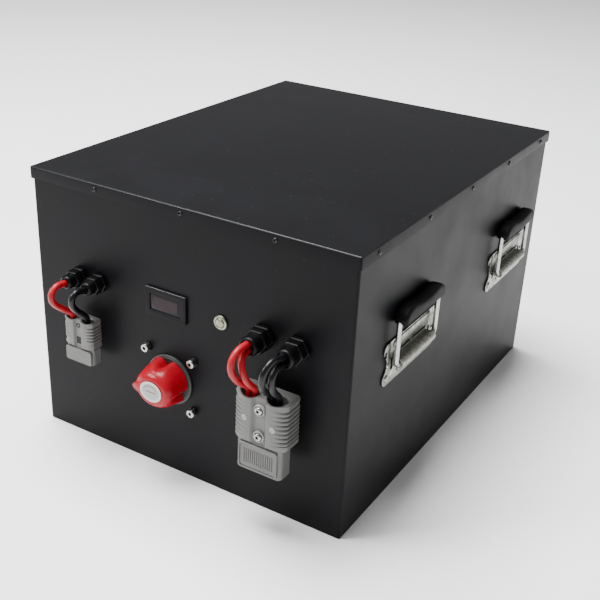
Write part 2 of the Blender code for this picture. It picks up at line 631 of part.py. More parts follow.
def lead_routes():
    """Each lead's route through the air, from its gland's seal to its barrel's floor.

    Points are (X, outwards, Z): straight out of the gland, over in a loose arch and down into the barrel.
    """
    routes = {
        "charge_lead_red": [
            (-0.1235, 0.0270, 0.1849), (-0.1235, 0.0330, 0.1854), (-0.1234, 0.0385, 0.1836),
            (-0.1232, 0.0422, 0.1793),
            (-0.1228, 0.0426, 0.1736), (-0.1222, 0.0395, 0.1684), (-0.1215, 0.0345, 0.1638),
            (-0.1209, 0.0293, 0.1594),
            (-0.1204, 0.0238, 0.1556), (-0.1201, 0.0195, 0.1514)],
        "charge_lead_black": [
            (-0.0985, 0.0270, 0.1848), (-0.0985, 0.0322, 0.1858), (-0.0986, 0.0372, 0.1848),
            (-0.0989, 0.0403, 0.1806),
            (-0.0994, 0.0402, 0.1750), (-0.1000, 0.0372, 0.1699), (-0.1007, 0.0326, 0.1652),
            (-0.1013, 0.0276, 0.1606),
            (-0.1017, 0.0226, 0.1560), (-0.1019, 0.0191, 0.1514)],
        "power_lead_red_upper": [
            (0.0905, 0.0310, 0.1883), (0.0905, 0.0370, 0.1883), (0.0904, 0.0435, 0.1864),
            (0.0902, 0.0482, 0.1818),
            (0.0902, 0.0500, 0.1755), (0.0906, 0.0486, 0.1690), (0.0912, 0.0449, 0.1630),
            (0.0915, 0.0402, 0.1576),
            (0.0920, 0.0346, 0.1532), (0.0931, 0.0293, 0.1490), (0.0933, 0.0259, 0.1450)],
        "power_lead_red_lower": [
            (0.0906, 0.0290, 0.1806), (0.0912, 0.0336, 0.1791), (0.0926, 0.0374, 0.1758),
            (0.0946, 0.0394, 0.1708),
            (0.0964, 0.0394, 0.1653), (0.0978, 0.0374, 0.1598), (0.0990, 0.0340, 0.1548),
            (0.1000, 0.0298, 0.1502),
            (0.1005, 0.0262, 0.1460)],
        "power_lead_black_upper": [
            (0.1275, 0.0310, 0.1884), (0.1273, 0.0380, 0.1902), (0.1268, 0.0450, 0.1902),
            (0.1260, 0.0510, 0.1868),
            (0.1252, 0.0546, 0.1812), (0.1243, 0.0546, 0.1747), (0.1232, 0.0518, 0.1686),
            (0.1218, 0.0470, 0.1630),
            (0.1203, 0.0414, 0.1580), (0.1190, 0.0354, 0.1536), (0.1182, 0.0296, 0.1494),
            (0.1179, 0.0260, 0.1450)],
        "power_lead_black_lower": [
            (0.1276, 0.0300, 0.1809), (0.1277, 0.0356, 0.1810), (0.1276, 0.0404, 0.1788),
            (0.1274, 0.0432, 0.1742),
            (0.1272, 0.0432, 0.1686), (0.1269, 0.0412, 0.1632), (0.1265, 0.0376, 0.1582),
            (0.1260, 0.0334, 0.1538),
            (0.1255, 0.0290, 0.1496), (0.1252, 0.0260, 0.1452)],
    }
    for name, route in routes.items():
        colour = "red" if "_red" in name else "black"
        power = name.startswith("power")
        gland = POWER_GLAND if power else CHARGE_GLAND
        connector = POWER_CONNECTOR if power else CHARGE_CONNECTOR
        spread = 0.0
        if power:
            spread = LEAD_SPREAD if name.endswith("upper") else -LEAD_SPREAD
        gland_x = (POWER_GLAND_X if power else CHARGE_GLAND_X)[colour]
        start = (gland_x, gland["tip"] - SEAL_DEPTH + GAP, GLAND_HEIGHT + spread)
        mouth_x, mouth_depth = connector_mouth(connector, colour)
        floor = connector["mouth_floor"] + GAP
        route.insert(0, start)
        route.append((mouth_x - spread, mouth_depth, connector["high"] - 0.0025))
        route.append((mouth_x - spread, mouth_depth, floor))
    return routes


def build_leads():
    for name, route in lead_routes().items():
        path = smooth_path([on_panel(*point) for point in route], 20)
        mesh = tube_mesh(name, path, LEAD_RADIUS)
        mesh.shade_smooth()
        add_piece(name, mesh, "lead_red" if "_red" in name else "lead_black")


# ---------------------------------------------------------------- connectors

def connector_outline(size):
    """Half of the housing's front view, from the bottom up, about X = 0."""
    wide, hood = size["width"] / 2, size["hood_width"] / 2
    low, step, high = size["low"], size["low"] + size["hood"], size["high"]
    corner = size["corner"]
    right = [(hood - 0.002, low), (hood, low + 0.002), (hood, step), (wide, step + 0.003)]
    for i in range(5):
        angle = math.radians(22.5 * i)
        right.append((wide - corner * (1 - math.cos(angle)), high - corner * (1 - math.sin(angle))))
    return right


def build_connector(name, size, cavity):
    """A moulded housing that hangs on its leads: barrels above, a hollow mating face below."""
    right = connector_outline(size)
    outline = right + [(-x, z) for x, z in reversed(right)]
    mesh = plate_mesh(name, outline, size["back"], size["front"])
    housing = add_piece(name, mesh, "connector_grey", PANEL, (size["x"], 0, 0))
    add_bevel(housing, 0.0016, 2)
    # The cutters stand upright, so they are placed in the world and not on the panel's frame.
    mouths = []
    for colour in ("red", "black"):
        x, depth = connector_mouth(size, colour)
        mouths.append((x, -CASE_DEPTH / 2 - depth, size["mouth_radius"]))
    barrel = cylinders_mesh(f"{name}_mouths", mouths, size["mouth_floor"], size["high"] + 0.01, 20)
    middle = -CASE_DEPTH / 2 - (size["front"] + size["hood_back"]) / 2
    dx, dy, dz = cavity
    hollow = block_mesh(f"{name}_cavity", (size["x"] - dx / 2, middle - dy / 2, size["low"] - 0.01),
                        (size["x"] + dx / 2, middle + dy / 2, size["low"] + dz))
    reach = size["width"] / 2 + 0.001
    relief = block_mesh(f"{name}_relief", (size["x"] - reach, -CASE_DEPTH / 2 - size["hood_back"],
                                           size["low"] - 0.01),
                        (size["x"] + reach, -CASE_DEPTH / 2, size["low"] + size["hood"] + 0.0015))
    cut(housing, add_piece(f"{name}_mouths", barrel, None), add_piece(f"{name}_cavity", hollow, None),
        add_piece(f"{name}_relief", relief, None))
    return housing


def build_connectors():
    build_connector("charge_connector", CHARGE_CONNECTOR, (0.0290, 0.0100, 0.0220))
    housing = build_connector("power_connector", POWER_CONNECTOR, (0.0400, 0.0120, 0.0280))
    front = POWER_CONNECTOR["front"]
    seats = [(POWER_CONNECTOR["x"], z, CONNECTOR_SCREW_RADIUS + GAP) for z in CONNECTOR_SCREW_HEIGHTS.values()]
    pockets = cylinders_mesh("connector_screw_pockets", seats, front - 0.0012, front + 0.01, 20)
    cut(housing, add_piece("connector_screw_pockets", pockets, None, PANEL))
    for name, z in CONNECTOR_SCREW_HEIGHTS.items():
        head = front - 0.0012 + GAP
        turned(f"power_connector_screw_{name}",
               [(0, head + 0.0024), (0.0022, head + 0.0022), (CONNECTOR_SCREW_RADIUS, head + 0.0010),
                (CONNECTOR_SCREW_RADIUS, head), (0, head)],
               "stainless", PANEL, (POWER_CONNECTOR["x"], z, 0), 20)


# ---------------------------------------------------------------- handles

def rounded_outline(corners, steps=4):
    """A closed outline from (x, y, radius) corners, each turned into an arc."""
    outline = []
    count = len(corners)
    for i, (x, y, radius) in enumerate(corners):
        here = Vector((x, y))
        before = (Vector(corners[i - 1][:2]) - here).normalized()
        after = (Vector(corners[(i + 1) % count][:2]) - here).normalized()
        if radius == 0:
            outline.append((x, y))
            continue
        half = before.angle(after) / 2
        reach = radius / math.tan(half)
        start, end = here + before * reach, here + after * reach
        centre = here + (before + after).normalized() * (radius / math.sin(half))
        first, last = start - centre, end - centre
        turn = first.angle_signed(last)
        for step in range(steps + 1):
            arm = first.copy()
            arm.rotate(Matrix.Rotation(-turn * step / steps, 2))
            outline.append(tuple(centre + arm))
    return outline


def build_handle_plate(name, frame):
    """A pressed plate with two screw lobes at each end and a raised tunnel for the bail's ends."""
    end, waist = PLATE_HALF_LENGTH, PLATE_HALF_LENGTH - 0.0070
    low, high = PLATE_BOTTOM, PLATE_TOP
    half = [(end, low, 0.006), (end, low + 0.016, 0.005), (waist, 0.003, 0.003),
            (end, high - 0.016, 0.005), (end, high, 0.006)]
    outline = rounded_outline([*half, *[(-x, y, r) for x, y, r in reversed(half)]], 3)
    plate = add_piece(name, plate_mesh(name, outline, GAP, PLATE_SHEET), "zinc_plate", frame)
    reach = PLATE_HALF_LENGTH - 0.0068
    screw_holes = [(x, y, 0.0022) for x in (-reach, reach) for y in (low + 0.0080, high - 0.0080)]
    holes = cylinders_mesh(f"{name}_holes", screw_holes, -0.01, 0.01, 12)
    cut(plate, add_piece(f"{name}_holes", holes, None, frame))
    tunnel = turned(f"{name}_tunnel", rod_profile(TUNNEL_RADIUS, -TUNNEL_HALF_LENGTH, TUNNEL_HALF_LENGTH),
                    None, frame, (0, 0, HANDLE_REST_DEPTH), 16)
    tunnel.rotation_euler = (0, math.radians(90), 0)
    web_length, web_width = TUNNEL_HALF_LENGTH - 0.0008, TUNNEL_RADIUS - 0.0002
    web = block_mesh(f"{name}_web", (-web_length, -web_width, 0.001),
                     (web_length, web_width, HANDLE_REST_DEPTH))
    unite(plate, tunnel, add_piece(f"{name}_web", web, None, frame))
    bore = turned(f"{name}_bore", rod_profile(BAIL_RADIUS + GAP, -0.05, 0.05), None, frame,
                  (0, 0, HANDLE_REST_DEPTH), 16)
    bore.rotation_euler = (0, math.radians(90), 0)
    cut(plate, bore)


def bail_path():
    """The bail's rod in its own frame, with its pivot on X: out of the tunnel, up, across and back."""
    side, inner, rise, bend = BAIL_HALF_WIDTH, TUNNEL_HALF_LENGTH - 0.012, BAIL_RISE, 0.006
    right = [(inner, 0), (side - bend, 0)]
    for i in range(1, 5):
        angle = math.radians(22.5 * i)
        right.append((side - bend + bend * math.sin(angle), bend - bend * math.cos(angle)))
    for i in range(5):
        angle = math.radians(22.5 * i)
        right.append((side - bend + bend * math.cos(angle), rise - bend + bend * math.sin(angle)))
    return [(x, y, 0) for x, y in right] + [(-x, y, 0) for x, y in reversed(right)]


def grip_outline():
    """The grip seen from the front: round ends, and a top with two low humps."""
    half, low, high = GRIP_HALF_LENGTH, GRIP_BOTTOM, GRIP_TOP
    corners = [(-half, low, 0.003), (half, low, 0.003), (half, high - 0.003, 0.004)]
    outline = rounded_outline([*corners, (half - 0.010, high, 0.004), (0.0, high - 0.0022, 0.0),
                               (-half + 0.010, high, 0.004), (-half, high - 0.003, 0.004)], 3)
    return outline


def build_handle(side, end):
    """One handle on a side wall. The grip rides on the bail, which turns about the tunnel."""
    across = 1 if side == "right" else -1
    along = Matrix(((0, 0, across), (across, 0, 0), (0, 1, 0)))
    y = HANDLE_MIDDLE + (HANDLE_SPACING / 2 if end == "rear" else -HANDLE_SPACING / 2)
    frame = new_frame(f"handle_frame_{side}_{end}", (across * CASE_WIDTH / 2, y, HANDLE_PIVOT_HEIGHT), along)
    label = f"{side}_{end}"
    build_handle_plate(f"handle_plate_{label}", frame)
    pivot = (0, 0, HANDLE_REST_DEPTH)
    bail = tube_mesh(f"handle_bail_{label}", bail_path(), BAIL_RADIUS)
    bail.shade_smooth()
    add_piece(f"handle_bail_{label}", bail, "zinc_plate", frame, pivot)
    half = GRIP_THICKNESS / 2
    mesh = plate_mesh(f"handle_grip_{label}", grip_outline(), -half, half + 0.0010)
    grip = add_piece(f"handle_grip_{label}", mesh, "grip_vinyl", frame, pivot)
    add_bevel(grip, 0.0035, 2)
    channel = tube_mesh(f"grip_channel_{label}", bail_path(), BAIL_RADIUS + GAP)
    cut(grip, add_piece(f"grip_channel_{label}", channel, None, frame, pivot))


build_case()
build_cells()
build_cell_frame()
build_switch()
build_meter()
build_button()
for lead_colour, gland_x in POWER_GLAND_X.items():
    build_gland(f"power_{lead_colour}", gland_x, POWER_GLAND)
for lead_colour, gland_x in CHARGE_GLAND_X.items():
    build_gland(f"charge_{lead_colour}", gland_x, CHARGE_GLAND)
build_leads()
build_connectors()
for wall in ("right", "left"):
    for place_on_wall in ("front", "rear"):
        build_handle(wall, place_on_wall)
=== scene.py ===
"""Looks of the battery pack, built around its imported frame: finishes, fine shapes, leads, lights, camera."""

import json
import logging
import math
from collections.abc import Callable, Sequence
from dataclasses import dataclass, field
from enum import Enum

import bmesh
import bpy
from mathutils import Matrix, Vector

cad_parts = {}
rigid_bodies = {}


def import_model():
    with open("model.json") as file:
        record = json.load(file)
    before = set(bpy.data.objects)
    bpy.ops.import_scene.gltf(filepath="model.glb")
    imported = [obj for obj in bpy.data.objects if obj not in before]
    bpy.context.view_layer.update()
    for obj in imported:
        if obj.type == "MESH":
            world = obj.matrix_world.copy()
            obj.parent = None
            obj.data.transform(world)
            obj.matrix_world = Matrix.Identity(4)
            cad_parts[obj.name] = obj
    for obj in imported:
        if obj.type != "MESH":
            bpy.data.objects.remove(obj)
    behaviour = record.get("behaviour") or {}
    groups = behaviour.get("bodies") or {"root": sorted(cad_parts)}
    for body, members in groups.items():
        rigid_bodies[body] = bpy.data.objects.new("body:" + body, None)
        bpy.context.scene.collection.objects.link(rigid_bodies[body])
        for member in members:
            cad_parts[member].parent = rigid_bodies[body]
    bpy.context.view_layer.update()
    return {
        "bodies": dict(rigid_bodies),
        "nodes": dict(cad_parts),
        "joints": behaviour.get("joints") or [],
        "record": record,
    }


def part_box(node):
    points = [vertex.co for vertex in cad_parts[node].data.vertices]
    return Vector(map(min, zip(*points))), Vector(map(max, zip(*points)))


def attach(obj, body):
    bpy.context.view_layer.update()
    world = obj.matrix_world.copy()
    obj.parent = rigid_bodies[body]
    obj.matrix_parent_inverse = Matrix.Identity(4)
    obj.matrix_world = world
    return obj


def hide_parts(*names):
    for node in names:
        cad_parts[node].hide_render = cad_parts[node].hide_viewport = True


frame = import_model()
LOG = logging.getLogger("battery_pack")
MM = 0.001
CASE_BODY = "case"


# ------------------------------------------------------------------ nodes and finishes

def linear(colour: str) -> tuple[float, float, float, float]:
    """Turns an sRGB hex colour into the linear values that shaders take.

    Args:
        colour: Six hex digits.

    Returns:
        Red, green, blue and an alpha of 1.
    """
    values = [int(colour[i:i + 2], 16) / 255 for i in (0, 2, 4)]
    return (*(v / 12.92 if v <= 0.04045 else ((v + 0.055) / 1.055) ** 2.4 for v in values), 1.0)


def add_node(tree: bpy.types.NodeTree, kind: str, inputs: dict | None = None,
             **settings: object) -> bpy.types.Node:
    """Adds a node to a tree, with its settings, values and links.

    Args:
        tree: The shader or geometry tree.
        kind: The node's type name.
        inputs: Socket name or number to a value, or to the output socket that feeds it.
        **settings: Properties of the node itself, set before its inputs.

    Returns:
        The new node.
    """
    node = tree.nodes.new(kind)
    for name, value in settings.items():
        setattr(node, name, value)
    for name, value in (inputs or {}).items():
        if isinstance(value, bpy.types.NodeSocket):
            tree.links.new(value, node.inputs[name])
        else:
            node.inputs[name].default_value = value
    return node


@dataclass(frozen=True)
class Finish:
    """A surface: its colour and how it drifts, its gloss and its grain. Sizes are in millimetres."""

    name: str
    colour: str
    drift: str
    roughness: float = 0.45
    gloss_drift: float = 0.06
    metallic: float = 0.0
    drift_mm: float = 30.0
    grain_mm: float = 1.2
    grain_depth_mm: float = 0.02
    stretch: tuple[float, float, float] = (1.0, 1.0, 1.0)
    coat: float = 0.0
    specular: float = 0.5

    def material(self) -> bpy.types.Material:
        """Returns this finish's material, made on first use."""
        made = bpy.data.materials.get(self.name)
        return made or self.build()

    def build(self) -> bpy.types.Material:
        """Builds the material's nodes.

        Returns:
            The new material.
        """
        material = bpy.data.materials.new(self.name)
        material.use_nodes = True
        tree = material.node_tree
        tree.nodes.clear()
        place = add_node(tree, "ShaderNodeTexCoord").outputs["Object"]
        grain_place = add_node(tree, "ShaderNodeMapping", {"Vector": place, "Scale": self.stretch}).outputs[0]
        cloud = add_node(tree, "ShaderNodeTexNoise", {
            "Vector": place, "Scale": 1 / (self.drift_mm * MM), "Detail": 3.0, "Roughness": 0.6}).outputs[0]
        grain = add_node(tree, "ShaderNodeTexNoise", {
            "Vector": grain_place, "Scale": 1 / (self.grain_mm * MM), "Detail": 4.0,
            "Roughness": 0.55}).outputs[0]
        colour = self.paint(tree, cloud, place)
        gloss = add_node(tree, "ShaderNodeMapRange", {
            "Value": cloud, "From Min": 0.3, "From Max": 0.7, "To Min": self.roughness - self.gloss_drift,
            "To Max": self.roughness + self.gloss_drift}).outputs[0]
        bump = add_node(tree, "ShaderNodeBump", {"Height": grain, "Strength": 0.5,
                                                 "Distance": self.grain_depth_mm * MM}).outputs[0]
        shader = add_node(tree, "ShaderNodeBsdfPrincipled", {
            "Base Color": colour, "Roughness": gloss, "Normal": bump, "Metallic": self.metallic,
            "Coat Weight": self.coat, "Coat Roughness": 0.12, "Specular IOR Level": self.specular})
        add_node(tree, "ShaderNodeOutputMaterial", {"Surface": shader.outputs[0]})
        return material

    def paint(self, tree: bpy.types.NodeTree, cloud: bpy.types.NodeSocket,
              place: bpy.types.NodeSocket) -> bpy.types.NodeSocket:
        """Mixes the colour and its drift by the slow noise.

        Args:
            tree: The material's tree.
            cloud: The slow noise.
            place: Object coordinates, for a finish that lays a pattern over its colour.

        Returns:
            The colour socket.
        """
        share = add_node(tree, "ShaderNodeMapRange", {
            "Value": cloud, "From Min": 0.35, "From Max": 0.65}).outputs[0]
        mix = add_node(tree, "ShaderNodeMix", {
            "Factor": share, "A": linear(self.colour), "B": linear(self.drift)}, data_type="RGBA")
        return mix.outputs["Result"]

    def dress(self, *nodes: str) -> None:
        """Puts this finish on every slot of some carried-over frame nodes."""
        for name in nodes:
            piece = frame["nodes"][name]
            for slot in piece.material_slots:
                slot.material = self.material()
            if not piece.material_slots:
                piece.data.materials.append(self.material())


@dataclass(frozen=True)
class Speckled(Finish):
    """A finish with sparse specks of a third colour, as dust on powder coat or flecks in plastic."""

    specks: str = "808080"
    speck_mm: float = 3.0
    speck_share: float = 0.3

    def paint(self, tree: bpy.types.NodeTree, cloud: bpy.types.NodeSocket,
              place: bpy.types.NodeSocket) -> bpy.types.NodeSocket:
        """Lays specks over the drifting colour.

        Args:
            tree: The material's tree.
            cloud: The slow noise.
            place: Object coordinates, for a finish that lays a pattern over its colour.

        Returns:
            The colour socket.
        """
        base = super().paint(tree, cloud, place)
        dots = add_node(tree, "ShaderNodeTexVoronoi", {"Vector": place, "Scale": 1 / (self.speck_mm * MM)})
        near = add_node(tree, "ShaderNodeMapRange", {
            "Value": dots.outputs["Distance"], "From Min": 0.10, "From Max": 0.04,
            "To Max": self.speck_share}).outputs[0]
        mix = add_node(tree, "ShaderNodeMix", {"Factor": near, "A": base, "B": linear(self.specks)},
                       data_type="RGBA")
        return mix.outputs["Result"]


# Polyester powder coat, satin black: an orange peel about 1 mm across, drawn at 2 mm so that it shows.
POWDER = Speckled("satin_black_powder_coat", "0c0c0e", "0e0e11", 0.42, 0.04, drift_mm=70.0, grain_mm=2.0,
                  grain_depth_mm=0.012, specks="3c3c3e", speck_mm=14.0, speck_share=0.2, specular=0.085)
# The same coat on the lid's top fold, lighter and smoother: a painted highlight, so the fold shows as a fine
# bright line.
FOLD_HIGHLIGHT = Finish("powder_coat_fold_highlight", "131315", "1a1a1c", 0.34, 0.05, grain_mm=2.0, grain_depth_mm=0.008,
              specular=0.22)
# Bright zinc plate over pressed steel: cool, cloudy, with fine draw marks from the press.
ZINC = Finish("bright_zinc_plate", "b4b5b3", "9a9b99", 0.24, 0.06, 1.0, drift_mm=9.0, grain_mm=0.8,
              grain_depth_mm=0.02, stretch=(1.0, 0.3, 1.0))
# The same plating where the press left it dull, on the plate's flat field.
DULL_ZINC = Finish("dull_zinc_plate", "a3a49c", "74756f", 0.34, 0.10, 1.0, drift_mm=5.0, grain_mm=1.0,
                   grain_depth_mm=0.03, stretch=(1.0, 0.3, 1.0))
# The plating on the rolled hinge tunnel: paler and rougher, with the marks of the roll.
ROLLED_ZINC = Finish("rolled_zinc_plate", "bdbdb4", "8f8f86", 0.52, 0.08, 0.75, drift_mm=4.0, grain_mm=0.9,
                     grain_depth_mm=0.05)
# Soft vinyl, moulded: nearly matte, so its edges only catch a broad soft light.
VINYL = Finish("matte_black_vinyl", "0b0b0c", "0e0e0f", 0.55, 0.05, grain_mm=0.9, grain_depth_mm=0.03,
               specular=0.1)
# Red nylon, moulded and semi-gloss: clean highlights on the petals' ridges.
RED_NYLON = Finish("semi_gloss_red_nylon", "a00a1e", "90081a", 0.26, 0.03, grain_mm=1.5, grain_depth_mm=0.008,
                   specular=0.22)
# Dark grey-green nylon, moulded, matte: it stays behind the red of the knob.
COLLAR = Finish("matte_grey_nylon", "2b302d", "252a27", 0.5, 0.05)
# White acetal insert, smooth and slightly waxy.
WHITE_CAP = Finish("white_acetal", "c9c8c5", "c1c0bd", 0.38, 0.04, grain_depth_mm=0.005)
# Printed grey field of the insert: flatter than the plastic around it.
GREY_PRINT = Finish("grey_print", "a0a5a4", "979c9b", 0.5, 0.04, grain_depth_mm=0.004)
# Faded red print of the same insert.
RED_PRINT = Finish("red_print", "8a5f60", "7f5556", 0.5, 0.04, grain_depth_mm=0.004)
# Turned stainless steel: bright, with faint turning marks.
STAINLESS = Finish("turned_stainless", "a9a9a5", "979793", 0.28, 0.06, 1.0, drift_mm=5.0, grain_mm=0.5,
                   grain_depth_mm=0.012)
# Satin nickel with a warm cast: the wake button.
NICKEL = Finish("satin_nickel", "898b78", "7c7e6c", 0.36, 0.06, 1.0, drift_mm=5.0, grain_mm=0.5,
                grain_depth_mm=0.012)
# Blackened steel screw: dark, oily oxide that still glints.
BLACK_OXIDE = Finish("black_oxide_steel", "1b1b1d", "2a2a2c", 0.34, 0.06, 0.6, drift_mm=2.0, grain_mm=0.5)
# Black ABS, moulded, low gloss.
ABS = Finish("black_abs", "0a0a0c", "0d0d10", 0.45, 0.05, grain_mm=0.8, grain_depth_mm=0.01, specular=0.09)
# The same ABS, lighter and glossier, on the bezel's upward-facing upper edge: a painted highlight that draws a
# thin bright line.
ABS_HIGHLIGHT = Finish("black_abs_highlight_edge", "2c2c30", "343438", 0.3, 0.04, grain_mm=0.8,
                  grain_depth_mm=0.005)
# Smoked acrylic: a mirror-smooth dark window with a plum cast.
SMOKED = Finish("smoked_acrylic", "110a0f", "150d13", 0.16, 0.02, grain_mm=6.0, grain_depth_mm=0.002,
                specular=0.12)
# Unlit display behind the window: a shade lighter than the smoke.
DISPLAY = Finish("unlit_display", "22121a", "1b0f15", 0.25, 0.03, drift_mm=8.0, grain_depth_mm=0.002,
                 specular=0.14)
# Black polyamide gland: glossy where the mould was polished.
GLAND = Finish("black_polyamide", "050506", "070708", 0.38, 0.06, grain_mm=1.0, grain_depth_mm=0.03,
               specular=0.16)
# Soft black seal insert.
SEAL = Finish("black_seal_rubber", "0a0a0a", "101010", 0.7, 0.05)
# Red silicone insulation: soft gloss with a little bloom.
RED_SILICONE = Finish("red_silicone", "94101b", "a01722", 0.34, 0.05, drift_mm=14.0, grain_mm=1.4,
                      grain_depth_mm=0.02, specular=0.28)
# Black silicone insulation.
BLACK_SILICONE = Finish("black_silicone", "07070a", "0b0b0e", 0.34, 0.05, drift_mm=14.0, grain_mm=1.4,
                        grain_depth_mm=0.02, specular=0.28)
# Grey polycarbonate, moulded against a fine spark-eroded texture.
GREY_PC = Speckled("spark_textured_grey_polycarbonate", "5f5f5d", "5a5a58", 0.42, 0.05, drift_mm=22.0,
                   grain_mm=0.8, grain_depth_mm=0.03, specks="4f4f4d", speck_mm=2.2, speck_share=0.2,
                   specular=0.4)
# The same polycarbonate, paler and smoother: on the screw seats it is a painted highlight on their raised
# rims, and it also colours the raised polarity marks.
PALE_PC = Finish("pale_grey_polycarbonate", "9a9a97", "92928f", 0.34, 0.04, grain_mm=0.8,
                 grain_depth_mm=0.01)
# Silver-plated copper contact: warm, bright and slightly uneven.
SILVER = Finish("silver_plated_copper", "c8c5bd", "b0aca2", 0.3, 0.08, 1.0, drift_mm=4.0)
# Machined brass: warm and bright, with faint tool marks.
BRASS = Finish("machined_brass", "c9a45c", "b8924c", 0.3, 0.06, 1.0, drift_mm=5.0)
# Blue film shrunk over a cell's can.
CELL_FILM = Finish("blue_cell_film", "23508c", "1d477f", 0.36, 0.06, drift_mm=40.0, grain_mm=4.0, coat=0.2)
# Glass laminate: pale green-yellow with its weave just visible.
LAMINATE = Finish("glass_laminate", "b9ab6e", "a89b60", 0.5, 0.06, drift_mm=12.0, grain_mm=1.0)
# Clear anodised aluminium: even, cool and softly metallic.
ANODISED = Finish("clear_anodised_aluminium", "a3a4a6", "929395", 0.4, 0.05, 1.0, drift_mm=10.0)
# Cut foam strip: dead matte, with open pores.
FOAM = Finish("black_foam_strip", "131313", "1b1b1b", 0.85, 0.05, grain_mm=1.2, grain_depth_mm=0.2)
# Matte white paper sweep, without a visible grain.
FLOOR = Finish("white_sweep", "fbfbfb", "f9f9f9", 0.75, 0.03, drift_mm=900.0, grain_mm=40.0,
               grain_depth_mm=0.0)


# ------------------------------------------------------------------ mesh tools

def piece_from(name: str, shape: bmesh.types.BMesh, finish: Finish,
               smooth_deg: float | None = 35.0) -> bpy.types.Object:
    """Makes an object of a finished bmesh.

    Args:
        name: The piece's name.
        shape: Its mesh, in the frame's coordinates. It is freed.
        finish: Its finish.
        smooth_deg: Edges sharper than this stay sharp; None leaves every face flat.

    Returns:
        The new object, at the origin.
    """
    mesh = bpy.data.meshes.new(name)
    shape.to_mesh(mesh)
    shape.free()
    if smooth_deg is not None:
        mesh.shade_smooth()
        mesh.set_sharp_from_angle(angle=math.radians(smooth_deg))
    mesh.materials.append(finish.material())
    piece = bpy.data.objects.new(name, mesh)
    bpy.context.scene.collection.objects.link(piece)
    return piece


def drop(*pieces: bpy.types.Object) -> None:
    """Removes helper objects."""
    for piece in pieces:
        bpy.data.objects.remove(piece, do_unlink=True)


def settle(piece: bpy.types.Object, smooth_deg: float | None = 35.0) -> bpy.types.Object:
    """Applies a piece's modifiers, so that it is a plain mesh.

    Args:
        piece: The piece.
        smooth_deg: As in piece_from.

    Returns:
        The same piece.
    """
    graph = bpy.context.evaluated_depsgraph_get()
    graph.update()
    mesh = bpy.data.meshes.new_from_object(piece.evaluated_get(graph), depsgraph=graph)
    piece.modifiers.clear()
    piece.data = mesh
    if smooth_deg is not None:
        mesh.shade_smooth()
        mesh.set_sharp_from_angle(angle=math.radians(smooth_deg))
    return piece


def boolean(piece: bpy.types.Object, operation: str, others: Sequence[bpy.types.Object]) -> bpy.types.Object:
    """Cuts other shapes from a piece, or joins them to it, and removes them.

    Args:
        piece: The piece.
        operation: DIFFERENCE or UNION.
        others: The shapes that cut or join.

    Returns:
        The same piece, as a plain mesh.
    """
    for other in others:
        step = piece.modifiers.new(operation.title(), "BOOLEAN")
        step.operation = operation
        step.object = other
    settle(piece)
    drop(*others)
    return piece


def two_tone(piece: bpy.types.Object, finish: Finish,
             chosen: Callable[[bpy.types.MeshPolygon], bool]) -> None:
    """Gives some faces of a piece a second finish.

    Args:
        piece: The piece.
        finish: The second finish.
        chosen: Says of a face whether it takes it.
    """
    piece.data.materials.append(finish.material())
    for face in piece.data.polygons:
        if chosen(face):
            face.material_index = 1


def add_bevel(piece: bpy.types.Object, width: float, segments: int = 3,
              angle: float = 40.0) -> bpy.types.Object:
    """Rounds a piece's edges and settles it.

    Args:
        piece: The piece.
        width: The rounding, in metres.
        segments: Steps around it.
        angle: Edges flatter than this, in degrees, stay as they are.

    Returns:
        The same piece.
    """
    bevel = piece.modifiers.new("Rounded", "BEVEL")
    bevel.width = width
    bevel.segments = segments
    bevel.limit_method = "ANGLE"
    bevel.angle_limit = math.radians(angle)
    return settle(piece)


def loft(rings: Sequence[Sequence[Vector]], place: Matrix | None = None) -> bmesh.types.BMesh:
    """Closed surface through rings of points, capped at both ends.

    Args:
        rings: Rings with the same number of points each, turning anticlockwise about the way they advance.
        place: Where the surface goes.

    Returns:
        The mesh.
    """
    shape = bmesh.new()
    rows = [[shape.verts.new(point) for point in ring] for ring in rings]
    count = len(rows[0])
    for low, high in zip(rows, rows[1:]):
        for i in range(count):
            j = (i + 1) % count
            shape.faces.new((low[i], low[j], high[j], high[i]))
    shape.faces.new(rows[-1])
    shape.faces.new(list(reversed(rows[0])))
    if place is not None:
        shape.transform(place)
    return shape


def lathe(profile: Sequence[tuple[float, float]], steps: int, place: Matrix) -> bmesh.types.BMesh:
    """Turned solid from (radius, height) points that run up its axis.

    Args:
        profile: The outline; its first and last points are closed by flat faces.
        steps: Points around each ring.
        place: Where the solid goes.

    Returns:
        The mesh.
    """
    rings = [[Vector((r * math.cos(2 * math.pi * i / steps), r * math.sin(2 * math.pi * i / steps), z))
              for i in range(steps)] for r, z in profile]
    return loft(rings, place)


def box(low: Sequence[float], high: Sequence[float], place: Matrix | None = None) -> bmesh.types.BMesh:
    """A box from one corner to the other.

    Args:
        low: Its lowest corner.
        high: Its highest corner.
        place: Where it goes.

    Returns:
        The mesh.
    """
    shape = bmesh.new()
    bmesh.ops.create_cube(shape, size=1.0)
    low, high = Vector(low), Vector(high)
    bmesh.ops.scale(shape, vec=high - low, verts=shape.verts)
    bmesh.ops.translate(shape, vec=(low + high) / 2, verts=shape.verts)
    if place is not None:
        shape.transform(place)
    return shape


def face_outwards(shape: bmesh.types.BMesh) -> None:
    """Turns the faces of a closed mesh outwards, as a mirrored place leaves them inside out."""
    bmesh.ops.recalc_face_normals(shape, faces=shape.faces)


def rounded_rectangle(half_x: float, half_y: float, radius: float,
                      steps: int = 6) -> list[tuple[float, float]]:
    """Outline of a rectangle with round corners, anticlockwise.

    Args:
        half_x: Half its length.
        half_y: Half its height.
        radius: Its corners' radius.
        steps: Steps around each corner.

    Returns:
        The points.
    """
    outline = []
    for quarter, (sx, sy) in enumerate(((1, 1), (-1, 1), (-1, -1), (1, -1))):
        for i in range(steps + 1):
            angle = math.pi / 2 * (quarter + i / steps)
            outline.append((sx * (half_x - radius) + radius * math.cos(angle),
                            sy * (half_y - radius) + radius * math.sin(angle)))
    return outline


